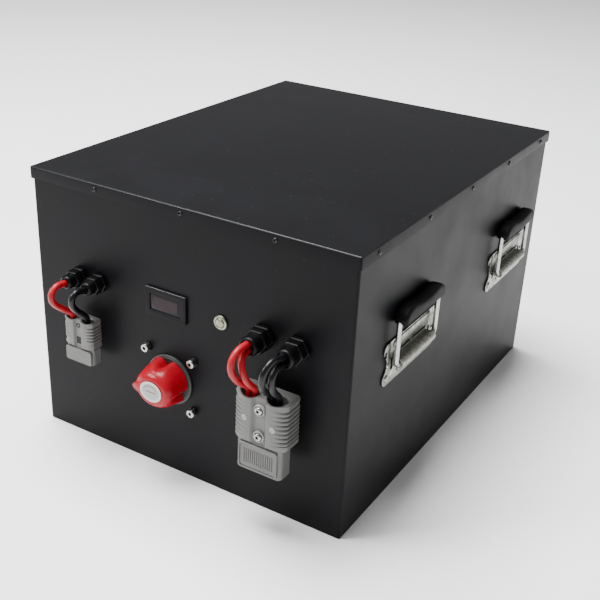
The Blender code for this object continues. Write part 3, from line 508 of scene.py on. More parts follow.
def slab(outline: Sequence[tuple[float, float]], low: float, high: float, place: Matrix,
         shrink: float = 0.0) -> bmesh.types.BMesh:
    """A flat outline made solid between two heights, with its upper edge drawn in.

    Args:
        outline: Points in XY, anticlockwise.
        low: Its lower height.
        high: Its upper height.
        place: Where it goes.
        shrink: How far the upper edge is chamfered.

    Returns:
        The mesh.
    """
    centre = Vector((sum(p[0] for p in outline), sum(p[1] for p in outline))) / len(outline)
    rings = [[Vector((x, y, low)) for x, y in outline], [Vector((x, y, high - shrink)) for x, y in outline]]
    if shrink:
        ring = []
        for x, y in outline:
            inward = (centre - Vector((x, y))).normalized() * shrink
            ring.append(Vector((x + inward.x, y + inward.y, high)))
        rings.append(ring)
    return loft(rings, place)


def smooth_path(points: Sequence[Vector], count: int) -> list[Vector]:
    """Evenly spaced points along a smooth curve through the given ones.

    Args:
        points: The route's own points.
        count: How many to return.

    Returns:
        The points.
    """
    ends = [2 * points[0] - points[1], *points, 2 * points[-1] - points[-2]]
    fine = []
    for before, start, end, after in zip(ends, ends[1:], ends[2:], ends[3:]):
        for step in range(24):
            t = step / 24
            fine.append(0.5 * (2 * start + (end - before) * t
                               + (2 * before - 5 * start + 4 * end - after) * t * t
                               + (3 * start - before - 3 * end + after) * t ** 3))
    fine.append(points[-1].copy())
    lengths = [0.0]
    for a, b in zip(fine, fine[1:]):
        lengths.append(lengths[-1] + (b - a).length)
    path = []
    at = 0
    for i in range(count):
        wanted = lengths[-1] * i / (count - 1)
        while at < len(fine) - 2 and lengths[at + 1] < wanted:
            at += 1
        path.append(fine[at].lerp(fine[at + 1], (wanted - lengths[at]) / (lengths[at + 1] - lengths[at])))
    return path


def tube(name: str, path: Sequence[Vector], radius: float, finish: Finish, sides: int) -> bpy.types.Object:
    """A round rod along a path, as a curve object.

    Args:
        name: The piece's name.
        path: Its centreline.
        radius: Its radius.
        finish: Its finish.
        sides: The curve's bevel resolution.

    Returns:
        The curve object.
    """
    curve = bpy.data.curves.new(name, "CURVE")
    curve.dimensions = "3D"
    curve.bevel_depth = radius
    curve.bevel_resolution = sides
    curve.use_fill_caps = True
    spline = curve.splines.new("POLY")
    spline.points.add(len(path) - 1)
    for point, place in zip(spline.points, path):
        point.co = (*place, 1)
    spline.use_smooth = True
    curve.materials.append(finish.material())
    piece = bpy.data.objects.new(name, curve)
    bpy.context.scene.collection.objects.link(piece)
    return piece


def meshed(piece: bpy.types.Object) -> bpy.types.Object:
    """Turns a curve object into a mesh object of the same name, with its caps welded on."""
    graph = bpy.context.evaluated_depsgraph_get()
    graph.update()
    mesh = bpy.data.meshes.new_from_object(piece.evaluated_get(graph), depsgraph=graph)
    name = piece.name
    material = piece.data.materials[0]
    drop(piece)
    shape = bmesh.new()
    shape.from_mesh(mesh)
    bmesh.ops.remove_doubles(shape, verts=shape.verts, dist=1e-6)
    shape.to_mesh(mesh)
    shape.free()
    mesh.shade_smooth()
    mesh.set_sharp_from_angle(angle=math.radians(50))
    mesh.materials.clear()
    mesh.materials.append(material)
    made = bpy.data.objects.new(name, mesh)
    bpy.context.scene.collection.objects.link(made)
    return made


def corner_box(node: str) -> tuple[Vector, Vector]:
    """The lowest and highest corners of a frame node."""
    low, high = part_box(node)
    return Vector(low), Vector(high)


def middle(node: str) -> Vector:
    """The middle of a frame node's box."""
    low, high = corner_box(node)
    return (low + high) / 2


def place_piece(piece: bpy.types.Object, body: str, slot: str, *nodes: str) -> bpy.types.Object:
    """Rides a piece on a body, and lets it stand for frame nodes if any are given."""
    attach(piece, body)
    if nodes:
        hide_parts(*nodes)
    LOG.info("%s rides on %s, %d faces", piece.name, body,
             len(piece.data.polygons) if piece.type == "MESH" else 0)
    return piece


# ------------------------------------------------------------------ repeated fasteners

class Drive(Enum):
    """What a fastener's head has in it."""

    CROSS = "cross"
    PLAIN = "plain"


@dataclass
class Fasteners:
    """Domed heads at given places: screws with a cross recess, or plain rivets. Sizes are in metres."""

    name: str
    radius: float
    height: float
    finish: Finish
    drive: Drive = Drive.CROSS
    seed: int = 1
    places: list[tuple[Vector, Vector]] = field(default_factory=list)

    def tree(self) -> bpy.types.GeometryNodeTree:
        """Builds the tree that shapes one head and sets it on every point along its aim.

        Returns:
            The geometry tree.
        """
        tree = bpy.data.node_groups.new(f"{self.name}_heads", "GeometryNodeTree")
        face = tree.interface
        face.new_socket("Points", in_out="INPUT", socket_type="NodeSocketGeometry")
        for label in ("Radius", "Height", "Recess"):
            face.new_socket(label, in_out="INPUT", socket_type="NodeSocketFloat")
        face.new_socket("Seed", in_out="INPUT", socket_type="NodeSocketInt")
        face.new_socket("Heads", in_out="OUTPUT", socket_type="NodeSocketGeometry")
        given = add_node(tree, "NodeGroupInput").outputs
        radius, height = given["Radius"], given["Height"]

        def times(value: bpy.types.NodeSocket, factor: float) -> bpy.types.NodeSocket:
            """A size times a constant."""
            return add_node(tree, "ShaderNodeMath", {0: value, 1: factor}, operation="MULTIPLY").outputs[0]

        def vector(x: object, y: object, z: object) -> bpy.types.NodeSocket:
            """Three numbers as a vector."""
            return add_node(tree, "ShaderNodeCombineXYZ", {"X": x, "Y": y, "Z": z}).outputs[0]

        ball = add_node(tree, "GeometryNodeMeshUVSphere", {
            "Segments": 20, "Rings": 12, "Radius": 1.0}).outputs["Mesh"]
        dome = add_node(tree, "GeometryNodeTransform", {
            "Geometry": ball, "Scale": vector(radius, radius, times(height, 1.35))}).outputs[0]
        keep = add_node(tree, "GeometryNodeMeshCube", {
            "Size": vector(times(radius, 2.4), times(radius, 2.4), height)}).outputs["Mesh"]
        keep = add_node(tree, "GeometryNodeTransform", {
            "Geometry": keep, "Translation": vector(0.0, 0.0, times(height, 0.5))}).outputs[0]
        head = add_node(tree, "GeometryNodeMeshBoolean", operation="INTERSECT")
        tree.links.new(dome, head.inputs["Mesh 2"])
        tree.links.new(keep, head.inputs["Mesh 2"])
        bars = add_node(tree, "GeometryNodeJoinGeometry")
        for long_x, long_y in ((1.15, 0.26), (0.26, 1.15)):
            size = vector(times(radius, long_x), times(radius, long_y), given["Recess"])
            bar = add_node(tree, "GeometryNodeMeshCube", {"Size": size}).outputs["Mesh"]
            bar = add_node(tree, "GeometryNodeTransform", {
                "Geometry": bar, "Translation": vector(0.0, 0.0, height)}).outputs[0]
            tree.links.new(bar, bars.inputs[0])
        cut = add_node(tree, "GeometryNodeMeshBoolean", {"Mesh 1": head.outputs[0]}, operation="DIFFERENCE")
        tree.links.new(bars.outputs[0], cut.inputs["Mesh 2"])
        aim = add_node(tree, "GeometryNodeInputNamedAttribute", {"Name": "aim"}, data_type="FLOAT_VECTOR")
        turn = add_node(tree, "FunctionNodeAlignRotationToVector", {"Vector": aim.outputs[0]}, axis="Z")
        spin = add_node(tree, "FunctionNodeRandomValue", {"Seed": given["Seed"]}, data_type="FLOAT")
        angle = times(spin.outputs[1], math.pi / 2)
        own = add_node(tree, "FunctionNodeAxisAngleToRotation", {"Axis": (0, 0, 1), "Angle": angle})
        both = add_node(tree, "FunctionNodeRotateRotation", {
            "Rotation": turn.outputs[0], "Rotate By": own.outputs[0]}, rotation_space="LOCAL")
        set_on = add_node(tree, "GeometryNodeInstanceOnPoints", {
            "Points": given["Points"], "Instance": cut.outputs[0], "Rotation": both.outputs[0]})
        real = add_node(tree, "GeometryNodeRealizeInstances", {"Geometry": set_on.outputs[0]})
        dressed = add_node(tree, "GeometryNodeSetMaterial", {
            "Geometry": real.outputs[0], "Material": self.finish.material()})
        add_node(tree, "NodeGroupOutput", {"Heads": dressed.outputs[0]})
        return tree

    def build(self, body: str, slot: str, *nodes: str) -> bpy.types.Object:
        """Sets a head on every place, as one piece.

        Args:
            body: The body that they ride on.
            slot: The record's material slot; not used.
            *nodes: Frame nodes that they stand for.

        Returns:
            The piece.
        """
        mesh = bpy.data.meshes.new(self.name)
        mesh.from_pydata([tuple(at) for at, _ in self.places], [], [])
        aims = mesh.attributes.new("aim", "FLOAT_VECTOR", "POINT")
        for row, (_, aim) in zip(aims.data, self.places):
            row.vector = aim
        piece = bpy.data.objects.new(self.name, mesh)
        bpy.context.scene.collection.objects.link(piece)
        tree = self.tree()
        step = piece.modifiers.new("Heads", "NODES")
        step.node_group = tree
        recess = self.height * (1.1 if self.drive is Drive.CROSS else 0.0)
        values = {"Radius": self.radius, "Height": self.height, "Recess": recess, "Seed": self.seed}
        for item in tree.interface.items_tree:
            if item.in_out == "INPUT" and item.name in values:
                step[item.identifier] = values[item.name]
        settle(piece, 30.0)
        return place_piece(piece, body, slot, *nodes)


# ------------------------------------------------------------------ places

def panel_place(x: float = 0.0, z: float = 0.0) -> Matrix:
    """Frame of the front panel: its +X runs right, +Y up and +Z out of the panel.

    Args:
        x: Where its origin is along the panel.
        z: How high its origin is.

    Returns:
        The frame.
    """
    front = corner_box("case_shell")[0].y
    return Matrix.Translation((x, front, z)) @ Matrix.Rotation(math.radians(90), 4, "X")


def panel_axis(node: str) -> Matrix:
    """Frame on the front panel, at the middle of a node that stands on it."""
    centre = middle(node)
    return panel_place(centre.x, centre.z)


def reach(node: str) -> float:
    """How far a node stands out of the front panel."""
    return corner_box("case_shell")[0].y - corner_box(node)[0].y


# ------------------------------------------------------------------ case

@dataclass
class Case:
    """The folded steel case and its lid. Sizes are in metres."""

    fold: float = 0.0016
    corner: float = 0.002
    sheet: float = 0.0015
    skirt: float = 0.012
    screw_radius: float = 0.0026
    screw_height: float = 0.0011
    side_screws: tuple[float, ...] = (-0.2, -0.1, 0.0, 0.1, 0.2)
    end_screws: tuple[float, ...] = (-0.1, 0.0, 0.1)

    def build(self) -> None:
        """Dresses the case, and makes the lid and its screws."""
        POWDER.dress("case_shell")
        FOAM.dress("lid_gasket")
        self.build_lid()
        self.build_screws()

    def build_lid(self) -> None:
        """Makes the lid: a shallow tray with rounded folds, open below."""
        low, high = corner_box("lid")
        half = (high - low) / 2
        shape = box(low, high)
        upright = [e for e in shape.edges if abs(e.verts[0].co.z - e.verts[1].co.z) > self.skirt / 2]
        bmesh.ops.bevel(shape, geom=upright, offset=self.corner, segments=5, affect="EDGES", profile=0.5)
        bmesh.ops.delete(shape, geom=[f for f in shape.faces if f.normal.z < -0.9], context="FACES")
        lid = piece_from("lid_cover", shape, POWDER)
        bevel = lid.modifiers.new("Fold", "BEVEL")
        bevel.width = self.fold
        bevel.segments = 5
        bevel.limit_method = "ANGLE"
        bevel.angle_limit = math.radians(60)
        shell = lid.modifiers.new("Sheet", "SOLIDIFY")
        shell.thickness = self.sheet
        shell.offset = -1
        settle(lid, 45.0)
        # The upward-facing faces of the top fold take the lighter coat: a painted highlight along the lid's
        # edge.
        two_tone(lid, FOLD_HIGHLIGHT,
                 lambda face: 0.25 < face.normal.z < 0.97 and face.center.z > high.z - self.fold * 1.2)
        LOG.info("lid is %.0f by %.0f mm", half.x * 2000, half.y * 2000)
        place_piece(lid, CASE_BODY, "case_paint", "lid")

    def build_screws(self) -> None:
        """Sets the lid's screws round its skirt: five a side, three at the front and three at the rear."""
        low, high = corner_box("lid")
        height = low.z + self.skirt / 2
        # The rear heads are let in by their own height, so that they stay inside the case's box.
        screws = Fasteners("lid_screws", self.screw_radius, self.screw_height, BLACK_OXIDE, seed=3)
        for x in self.end_screws:
            screws.places.append((Vector((x, low.y, height)), Vector((0, -1, 0))))
            screws.places.append((Vector((x, high.y - self.screw_height, height)), Vector((0, 1, 0))))
        for y in self.side_screws:
            screws.places.append((Vector((low.x, y, height)), Vector((-1, 0, 0))))
            screws.places.append((Vector((high.x, y, height)), Vector((1, 0, 0))))
        screws.build(CASE_BODY, "case_paint")


# ------------------------------------------------------------------ inside the case

class Internals:
    """What the case holds: cells, end plates, carrier, battery manager, and what backs the panel."""

    def build(self) -> None:
        """Gives each inner piece its finish."""
        CELL_FILM.dress(*(f"cell_{number}" for number in range(1, 9)))
        LAMINATE.dress("end_plate_front", "end_plate_rear", "busbar_carrier")
        ANODISED.dress("battery_manager")
        ABS.dress("switch_housing", "meter_module")
        BRASS.dress("switch_rotor")
        STAINLESS.dress("button_nut")
        LOG.info("inner pieces dressed")


# ------------------------------------------------------------------ isolator switch

@dataclass
class Isolator:
    """The isolator switch: collar, four-petal knob, cap and four socket screws. Sizes in metres."""

    knob_body: str = "switch_knob_body"
    radius: float = 0.0250
    groove_radius: float = 0.0165
    pointer: float = 0.0232
    pointer_deg: float = 182.0
    lean: float = 0.0017
    lean_deg: float = 20.0
    grooves_deg: tuple[float, ...] = (91.0, 150.0, 222.0, 337.0)
    groove_width_deg: float = 25.0
    steps: int = 128
    squeeze: float = 0.18

    def build(self) -> None:
        """Builds every piece of the switch that shows."""
        self.build_collar()
        self.build_knob()
        self.build_cap()
        for number in range(1, 5):
            self.build_screw(number)

    def build_collar(self) -> None:
        """Makes the fixed collar: a low ring with a rounded shoulder and a fine step."""
        low, high = corner_box("switch_collar")
        radius, top = (high.x - low.x) / 2, reach("switch_collar")
        profile = [(0.0090, 0.0003), (radius, 0.0003), (radius, top - 0.0011)]
        profile += [(radius - 0.0008 + 0.0008 * math.cos(a), top - 0.0011 + 0.0008 * math.sin(a))
                    for a in (math.pi / 8, math.pi / 4, math.pi / 2)]
        profile += [(radius - 0.0022, top - 0.0003), (radius - 0.0024, top), (0.0090, top)]
        collar = piece_from("isolator_collar", lathe(profile, 96, panel_axis("switch_collar")), COLLAR)
        place_piece(collar, CASE_BODY, "collar_grey", "switch_collar")

    def radius_at(self, angle: float, up: float, tip: float) -> float:
        """The knob's radius at an angle and at a share of its height.

        Args:
            angle: Round the knob, in radians.
            up: From 0 at its foot to 1 at its top.
            tip: The radius that it draws in to under the cap.

        Returns:
            The radius.
        """
        degrees = math.degrees(angle)
        away = min(abs((degrees - groove + 180) % 360 - 180) for groove in self.grooves_deg)
        petal = math.sin(min(1.0, away / self.groove_width_deg) * math.pi / 2)
        dome = math.sqrt(max(0.0, 1.0 - max(0.0, (up - 0.35) / 0.65) ** 2))
        aside = (degrees - self.pointer_deg + 180) % 360 - 180
        pointer = tip + (self.pointer - tip) * math.exp(-(aside / 24.0) ** 2)
        foot = self.radius - self.lean * math.cos(angle - math.radians(self.lean_deg))
        lobe = max(tip + (foot - 0.0016 * math.sin(math.pi * up) - tip) * dome, pointer)
        groove = tip + (self.groove_radius - tip) * dome
        depth = 1.0 - 0.9 * min(1.0, max(0.0, (up - 0.25) / 0.5))
        return lobe - (lobe - groove) * (1.0 - petal) * depth

    def build_knob(self) -> None:
        """Makes the knob from rings that run from its foot up to the face under the cap."""
        cap_low, cap_high = corner_box("switch_cap")
        tip = (cap_high.x - cap_low.x) / 2 + 0.001
        base, top = reach("switch_collar") + 0.0003, reach("switch_knob")
        shares = [0.0, 0.01, 0.02, 0.04, 0.08, 0.14, 0.2, 0.26, 0.32, 0.38, 0.44, 0.50, 0.55, 0.60, 0.65,
                  0.70, 0.75, 0.80, 0.84, 0.88, 0.91, 0.94, 0.965, 0.985, 1.0]
        rings = []
        for up in shares:
            height = base + (top - base) * up
            edge = min(up / 0.02, (1.0 - up) / 0.035, 1.0)
            shrink = 0.0007 * (1.0 - math.sqrt(1.0 - (1.0 - edge) ** 2))
            ring = []
            for i in range(self.steps):
                angle = 2 * math.pi * i / self.steps
                radius = self.radius_at(angle, up, tip) - shrink
                flat = 1.0 - self.squeeze * up * up
                ring.append(Vector((radius * math.cos(angle), radius * math.sin(angle) * flat, height)))
            rings.append(ring)
        knob = piece_from("isolator_knob", loft(rings, self.axis()), RED_NYLON, 50.0)
        place_piece(knob, self.knob_body, "switch_red", "switch_knob")

    def axis(self) -> Matrix:
        """The knob's frame: its axis is its joint's, at the cap's middle."""
        return panel_axis("switch_cap")

    def build_cap(self) -> None:
        """Makes the oval white cap with its printed field and two plain marks."""
        oval = self.axis() @ Matrix.Diagonal((1.0, 1.0 - self.squeeze, 1.0, 1.0))
        low, high = corner_box("switch_cap")
        radius, top = (high.x - low.x) / 2, reach("switch_cap")
        under = top - 0.0009
        profile = [(radius - 0.0003, under), (radius, under + 0.0003), (radius, top - 0.0004)]
        profile += [(radius - 0.0004 + 0.0004 * math.cos(a), top - 0.0004 + 0.0004 * math.sin(a))
                    for a in (math.pi / 6, math.pi / 3, math.pi / 2)]
        profile += [(radius - 0.0021, top), (radius - 0.0023, top - 0.00025)]
        cap = piece_from("isolator_cap", lathe(profile, 96, oval), WHITE_CAP)
        place_piece(cap, self.knob_body, "cap_white", "switch_cap")
        field_low, field_high = top - 0.00028, top - 0.00013
        disc = lathe([(radius - 0.0028, field_low), (radius - 0.0028, field_high)], 64, oval)
        place_piece(piece_from("isolator_cap_field", disc, GREY_PRINT), self.knob_body, "cap_white")
        bar = slab(rounded_rectangle(0.0062, 0.0007, 0.00069), field_high, top, oval)
        place_piece(piece_from("isolator_cap_bar", bar, RED_PRINT), self.knob_body, "cap_white")
        outer, inner = radius - 0.0044, radius - 0.0052
        arc = bmesh.new()
        steps = 40
        rows = []
        for i in range(steps + 1):
            angle = math.radians(28 + 124 * i / steps)
            c, s = math.cos(angle), math.sin(angle)
            rows.append([arc.verts.new((r * c, r * s, z)) for r, z in
                         ((inner, field_high), (outer, field_high), (outer, top), (inner, top))])
        for a, b in zip(rows, rows[1:]):
            for k in range(4):
                m = (k + 1) % 4
                arc.faces.new((a[k], a[m], b[m], b[k]))
        arc.faces.new(list(reversed(rows[0])))
        arc.faces.new(rows[-1])
        face_outwards(arc)
        arc.transform(oval)
        place_piece(piece_from("isolator_cap_arc", arc, RED_PRINT), self.knob_body, "cap_white")

    def build_screw(self, number: int) -> None:
        """Makes one socket-head screw with its washer.

        Args:
            number: Which of the four.
        """
        node = f"switch_screw_{number}"
        top = reach(node)
        place = panel_axis(node)
        head = [(0.0024, 0.0016), (0.0040, 0.0016), (0.00425, 0.0019), (0.00425, top - 0.0006),
                (0.0040, top - 0.0002), (0.0036, top), (0.0020, top)]
        screw = piece_from(f"isolator_screw_{number}", lathe(head, 48, place), STAINLESS)
        hexagon = [(0.0020 * math.cos(math.radians(60 * i + 17 * number)),
                    0.0020 * math.sin(math.radians(60 * i + 17 * number))) for i in range(6)]
        well = piece_from("socket", slab(hexagon, top - 0.0026, top + 0.001, place), STAINLESS)
        boolean(screw, "DIFFERENCE", [well])
        # The socket's inner walls and floor take the dark oxide finish: painted shade inside the hex socket.
        back = place.inverted()
        two_tone(screw, BLACK_OXIDE, lambda face: (back @ face.center).xy.length < 0.0021
                 and (back @ face.center).z < top - 0.0002)
        place_piece(screw, CASE_BODY, "stainless", node)
        ring = [(0.0026, 0.0003), (0.0050, 0.0003), (0.0050, 0.0011), (0.0048, 0.0014), (0.0026, 0.0014)]
        washer = piece_from(f"isolator_washer_{number}", lathe(ring, 48, place), BLACK_OXIDE)
        place_piece(washer, CASE_BODY, "stainless")


# ------------------------------------------------------------------ meter and button

class Meter:
    """The small panel meter: a bezel with a sunk smoked window, and the unlit display's field on it."""

    def build(self) -> None:
        """Builds the bezel, the window and the display's field."""
        low, high = corner_box("meter_bezel")
        window_low, window_high = corner_box("meter_window")
        place = panel_axis("meter_bezel")
        half_x, half_z, top = (high.x - low.x) / 2, (high.z - low.z) / 2, reach("meter_bezel")
        gap = 0.0002
        hole_x, hole_z = (window_high.x - window_low.x) / 2 + gap, (window_high.z - window_low.z) / 2 + gap
        outline = rounded_rectangle(half_x, half_z, 0.0016)
        bezel = piece_from("meter_frame", slab(outline, 0.0003, top, place), ABS)
        opening = slab(rounded_rectangle(hole_x, hole_z, 0.0006), -0.02, 0.02, place)
        boolean(bezel, "DIFFERENCE", [piece_from("opening", opening, ABS)])
        add_bevel(bezel, 0.0006, 4, 50.0)
        # The bezel's upward-facing upper edge takes the lighter ABS: a painted highlight.
        two_tone(bezel, ABS_HIGHLIGHT, lambda face: face.normal.z > 0.35 and face.center.z > high.z - 0.0015)
        place_piece(bezel, CASE_BODY, "meter_plastic", "meter_bezel")
        pane_top = top - 0.0008
        pane = slab(rounded_rectangle(hole_x - gap, hole_z - gap, 0.0005), 0.0004, pane_top, place)
        window = add_bevel(piece_from("meter_pane", pane, SMOKED), 0.0001, 2)
        place_piece(window, CASE_BODY, "meter_smoke", "meter_window")
        field_outline = rounded_rectangle(hole_x - 0.0042, hole_z - 0.0030, 0.0004)
        display = slab(field_outline, pane_top, pane_top + 0.00008, place)
        place_piece(piece_from("meter_display", display, DISPLAY), CASE_BODY, "meter_smoke")


@dataclass
class PushButton:
    """The wake button: a turned nickel ring and a domed cap that sinks into it. Sizes are in metres."""

    cap_body: str = "button_cap_body"
    well: float = 0.0048

    def build(self) -> None:
        """Builds the ring and the cap."""
        place = panel_axis("button_body")
        low, high = corner_box("button_body")
        radius, top = (high.x - low.x) / 2, reach("button_body")
        ring = [(self.well, -0.006), (radius - 0.0012, -0.006), (radius - 0.0012, 0.0003), (radius, 0.0003),
                (radius, top - 0.0009), (radius - 0.0003, top - 0.0004), (radius - 0.0009, top),
                (self.well + 0.0004, top), (self.well, top - 0.0004)]
        body = piece_from("button_ring", self.hollow(ring, place), NICKEL)
        place_piece(body, CASE_BODY, "stainless", "button_body")
        cap_low, cap_high = corner_box("button_cap")
        cap_radius, crown = (cap_high.x - cap_low.x) / 2, reach("button_cap")
        dome = [(cap_radius, -0.0035), (cap_radius, crown - 0.0013), (cap_radius - 0.0002, crown - 0.0010)]
        dome += [((cap_radius - 0.0003) * math.cos(a), crown - 0.0009 + 0.0009 * math.sin(a))
                 for a in [math.radians(12 * step) for step in range(1, 8)]]
        cap = piece_from("button_dome", lathe(dome, 64, place), NICKEL)
        place_piece(cap, self.cap_body, "stainless", "button_cap")

    def hollow(self, outline: Sequence[tuple[float, float]], place: Matrix) -> bmesh.types.BMesh:
        """Turns a closed outline that doesn't touch its axis.

        Args:
            outline: (radius, height) points round the section.
            place: Where the ring goes.

        Returns:
            The mesh.
        """
        shape = bmesh.new()
        steps = 64
        turns = [2 * math.pi * i / steps for i in range(steps)]
        rows = [[shape.verts.new((r * math.cos(a), r * math.sin(a), z)) for a in turns] for r, z in outline]
        for low, high in zip(rows, rows[1:] + rows[:1]):
            for i in range(steps):
                j = (i + 1) % steps
                shape.faces.new((low[i], low[j], high[j], high[i]))
        face_outwards(shape)
        shape.transform(place)
        return shape


# ------------------------------------------------------------------ glands

@dataclass
class Gland:
    """A cable gland: hexagon flange, hexagon nut with a smooth dome, and a rubber seal. Sizes in metres."""

    label: str
    flats: float
    tip_radius: float
    bore: float

    def build(self) -> None:
        """Builds the flange, the dome nut and the seal."""
        body_node, nut_node = f"gland_body_{self.label}", f"gland_nut_{self.label}"
        place = panel_axis(nut_node)
        tip = reach(nut_node)
        flange = piece_from(f"gland_flange_{self.label}", self.prism(self.flats, 0.0003, 0.0058, place),
                            GLAND, 20.0)
        add_bevel(flange, 0.0004, 2)
        place_piece(flange, CASE_BODY, "gland_nylon", body_node)
        nut = piece_from(f"gland_dome_{self.label}", self.prism(self.flats - 0.001, 0.0064, 0.0146, place),
                         GLAND, 20.0)
        add_bevel(nut, 0.0004, 2)
        shoulder = self.flats / 2 - 0.0014
        rim = tip - 0.0008
        # The dome draws in from its own foot to the tip's rim along a slightly hollow curve.
        foot_radius, foot_height = shoulder - 0.0004, 0.0172
        profile = [(shoulder - 0.002, 0.0120), (shoulder, 0.0130), (shoulder, 0.0152),
                   (foot_radius, foot_height)]
        steps = 5
        for step in range(1, steps + 1):
            share = step / steps
            profile.append((foot_radius + (self.tip_radius + 0.0009 - foot_radius) * share ** 1.4,
                            foot_height + (rim - 0.0010 - foot_height) * share))
        profile += [(self.tip_radius + 0.0004, rim), (self.tip_radius - 0.0004, tip - 0.0001),
                    (self.tip_radius - 0.0010, tip)]
        dome = piece_from("dome", lathe(profile, 72, place), GLAND, 30.0)
        boolean(nut, "UNION", [dome])
        hole = lathe([(self.bore, tip - 0.0032), (self.bore, tip - 0.0006),
                      (self.bore + 0.0006, tip + 0.0002), (self.bore + 0.0006, tip + 0.001)], 48, place)
        boolean(nut, "DIFFERENCE", [piece_from("hole", hole, GLAND)])
        place_piece(nut, CASE_BODY, "gland_nylon", nut_node)
        seal = lathe([(self.bore - 0.0004, tip - 0.0050), (self.bore - 0.0004, tip - 0.0033)], 40, place)
        place_piece(piece_from(f"gland_seal_{self.label}", seal, SEAL), CASE_BODY, "gland_nylon")

    def prism(self, flats: float, low: float, high: float, place: Matrix) -> bmesh.types.BMesh:
        """A hexagonal prism with one flat facing up.

        Args:
            flats: Its width across flats.
            low: Its lower end.
            high: Its upper end.
            place: Where it goes.

        Returns:
            The mesh.
        """
        radius = flats / math.sqrt(3)
        corners = [(radius * math.cos(math.radians(60 * i)), radius * math.sin(math.radians(60 * i)))
                   for i in range(6)]
        return slab(corners, low, high, place, 0.0008)


# ------------------------------------------------------------------ connectors

@dataclass
class Connector:
    """A two-pole connector housing that hangs on its leads. Sizes are in metres.

    Its own frame is the panel's, with its origin on the housing's middle at the panel's foot.
    """

    label: str
    hood_width: float
    hood: float
    mouth_spread: float
    mouth_depth: float
    mouth_radius: float
    mouth_floor: float
    rib_pitch: float
    rib_count: int
    rib_top: float
    dip: float
    cavity: tuple[float, float, float]
    hood_back: float
    mouth_width: float
    mouth_out: float
    strip: float
    rise: float
    valley: float = 0.0028
    label_ribs: int = 0
    label_margin: float = 0.0034
    rib_depth: float = 0.0012
    recess: float = 0.0009

    def size(self) -> tuple[float, float, float, float, float]:
        """The housing's half width, lowest and highest Z, and back and front depths."""
        low, high = corner_box(f"{self.label}_connector")
        wall = corner_box("case_shell")[0].y
        return (high.x - low.x) / 2, low.z, high.z, wall - high.y, wall - low.y

    def section(self, z: float, wide: float, hooded: float) -> list[Vector]:
        """The housing's outline at one height, seen from above.

        Args:
            z: The height.
            wide: Its half width here.
            hooded: From 0 where it has barrels to 1 where it is the plain hood.

        Returns:
            The points, anticlockwise about +Z in (x, depth, z) with depth to the panel's outside.
        """
        _, _, _, back, front = self.size()
        back += (self.hood_back - back) * hooded
        groove = self.groove(z)
        points = []
        corner = 0.0014
        flank = 0.30 * (front - back)
        count = 72
        for i in range(count + 1):
            # The front runs from the right flank to the left one; t is -1 to 1 across it.
            t = 1 - 2 * i / count
            a = abs(t)
            across = math.sin(a * math.pi / 2)
            x = math.copysign(wide * across, t)
            out = min(1.0, max(0.0, (abs(x) - self.strip) / self.rise))
            hollow = 1 - out * out * (3 - 2 * out)
            barrel = front - self.valley * hollow
            side = max(0.0, (abs(x) - self.mouth_spread * 0.95) / (wide - self.mouth_spread * 0.95))
            round_off = flank * (1 - math.sqrt(max(0.0, 1 - side ** 2.6)))
            plain = front - 0.0020
            edge = max(0.0, (abs(x) - wide + 0.0042) / 0.0042)
            plain -= 0.0042 * (1 - math.sqrt(max(0.0, 1 - edge * edge)))
            depth = (barrel - round_off) * (1 - hooded) + plain * hooded
            depth -= 0.6 * groove * side * (1 - hooded)
            x -= math.copysign(groove * min(1.0, side * 1.6), x) * (1 - hooded)
            points.append(Vector((x, depth, z)))
        inset = groove * (1 - hooded)
        start = points[-1].y
        flank_steps = 5
        for i in range(1, flank_steps):
            points.append(Vector((-wide + inset, start + (back + corner - start) * i / flank_steps, z)))
        bend = [(corner * (1 - math.cos(a)), back + corner * (1 - math.sin(a)))
                for a in (math.radians(angle) for angle in (0.0, 30.0, 60.0, 90.0))]
        points += [Vector((-wide + inset + across, depth, z)) for across, depth in bend]
        points += [Vector((wide - inset - across, depth, z)) for across, depth in reversed(bend)]
        for i in range(flank_steps - 1, 0, -1):
            points.append(Vector((wide - inset, start + (back + corner - start) * i / flank_steps, z)))
        return points

    def groove(self, z: float) -> float:
        """How deep the finger grooves in the flanks are at a height."""
        _, _, high, _, _ = self.size()
        down = high - self.rib_top - z
        if not 0 <= down <= self.rib_pitch * self.rib_count:
            return 0.0
        return self.rib_depth * (1 - abs(math.sin(math.pi * down / self.rib_pitch))) ** 1.3

    def levels(self) -> list[tuple[float, float, float]]:
        """Heights of the loft's rings, each with its half width and its share of hood."""
        half, low, high, _, _ = self.size()
        hood_half, step = self.hood_width / 2, low + self.hood
        rows = [(low, hood_half - 0.0008, 1.0), (low + 0.0003, hood_half - 0.0003, 1.0),
                (low + 0.0009, hood_half, 1.0), (step - 0.0004, hood_half, 1.0),
                (step, hood_half + 0.0002, 0.9), (step + 0.0008, half - 0.0014, 0.25),
                (step + 0.0016, half - 0.0003, 0.04), (step + 0.0026, half, 0.0)]
        grooves_low = high - self.rib_top - self.rib_pitch * self.rib_count
        rows.append((grooves_low, half, 0.0))
        fine = 10 * self.rib_count
        for i in range(1, fine + 1):
            rows.append((grooves_low + self.rib_pitch * i / 10, half, 0.0))
        corner = 0.0020
        for i in range(1, 9):
            a = math.radians(90 * i / 8)
            rows.append((high - corner * (1 - math.sin(a)), half - corner * (1 - math.cos(a)), 0.0))
        return rows

    def build(self) -> bpy.types.Object:
        """Builds the housing, its label panel and its contacts.

        Returns:
            The housing.
        """
        place = panel_place(middle(f"{self.label}_connector").x, 0.0)
        upright = place @ Matrix(((1, 0, 0, 0), (0, 0, 1, 0), (0, 1, 0, 0), (0, 0, 0, 1)))
        shape = loft([self.section(*row) for row in self.levels()], upright)
        face_outwards(shape)
        housing = piece_from(f"{self.label}_housing", shape, GREY_PC)
        self.hollow_out(housing, upright)
        self.build_label(upright)
        self.build_contacts(upright)
        return place_piece(housing, CASE_BODY, "connector_grey", f"{self.label}_connector")

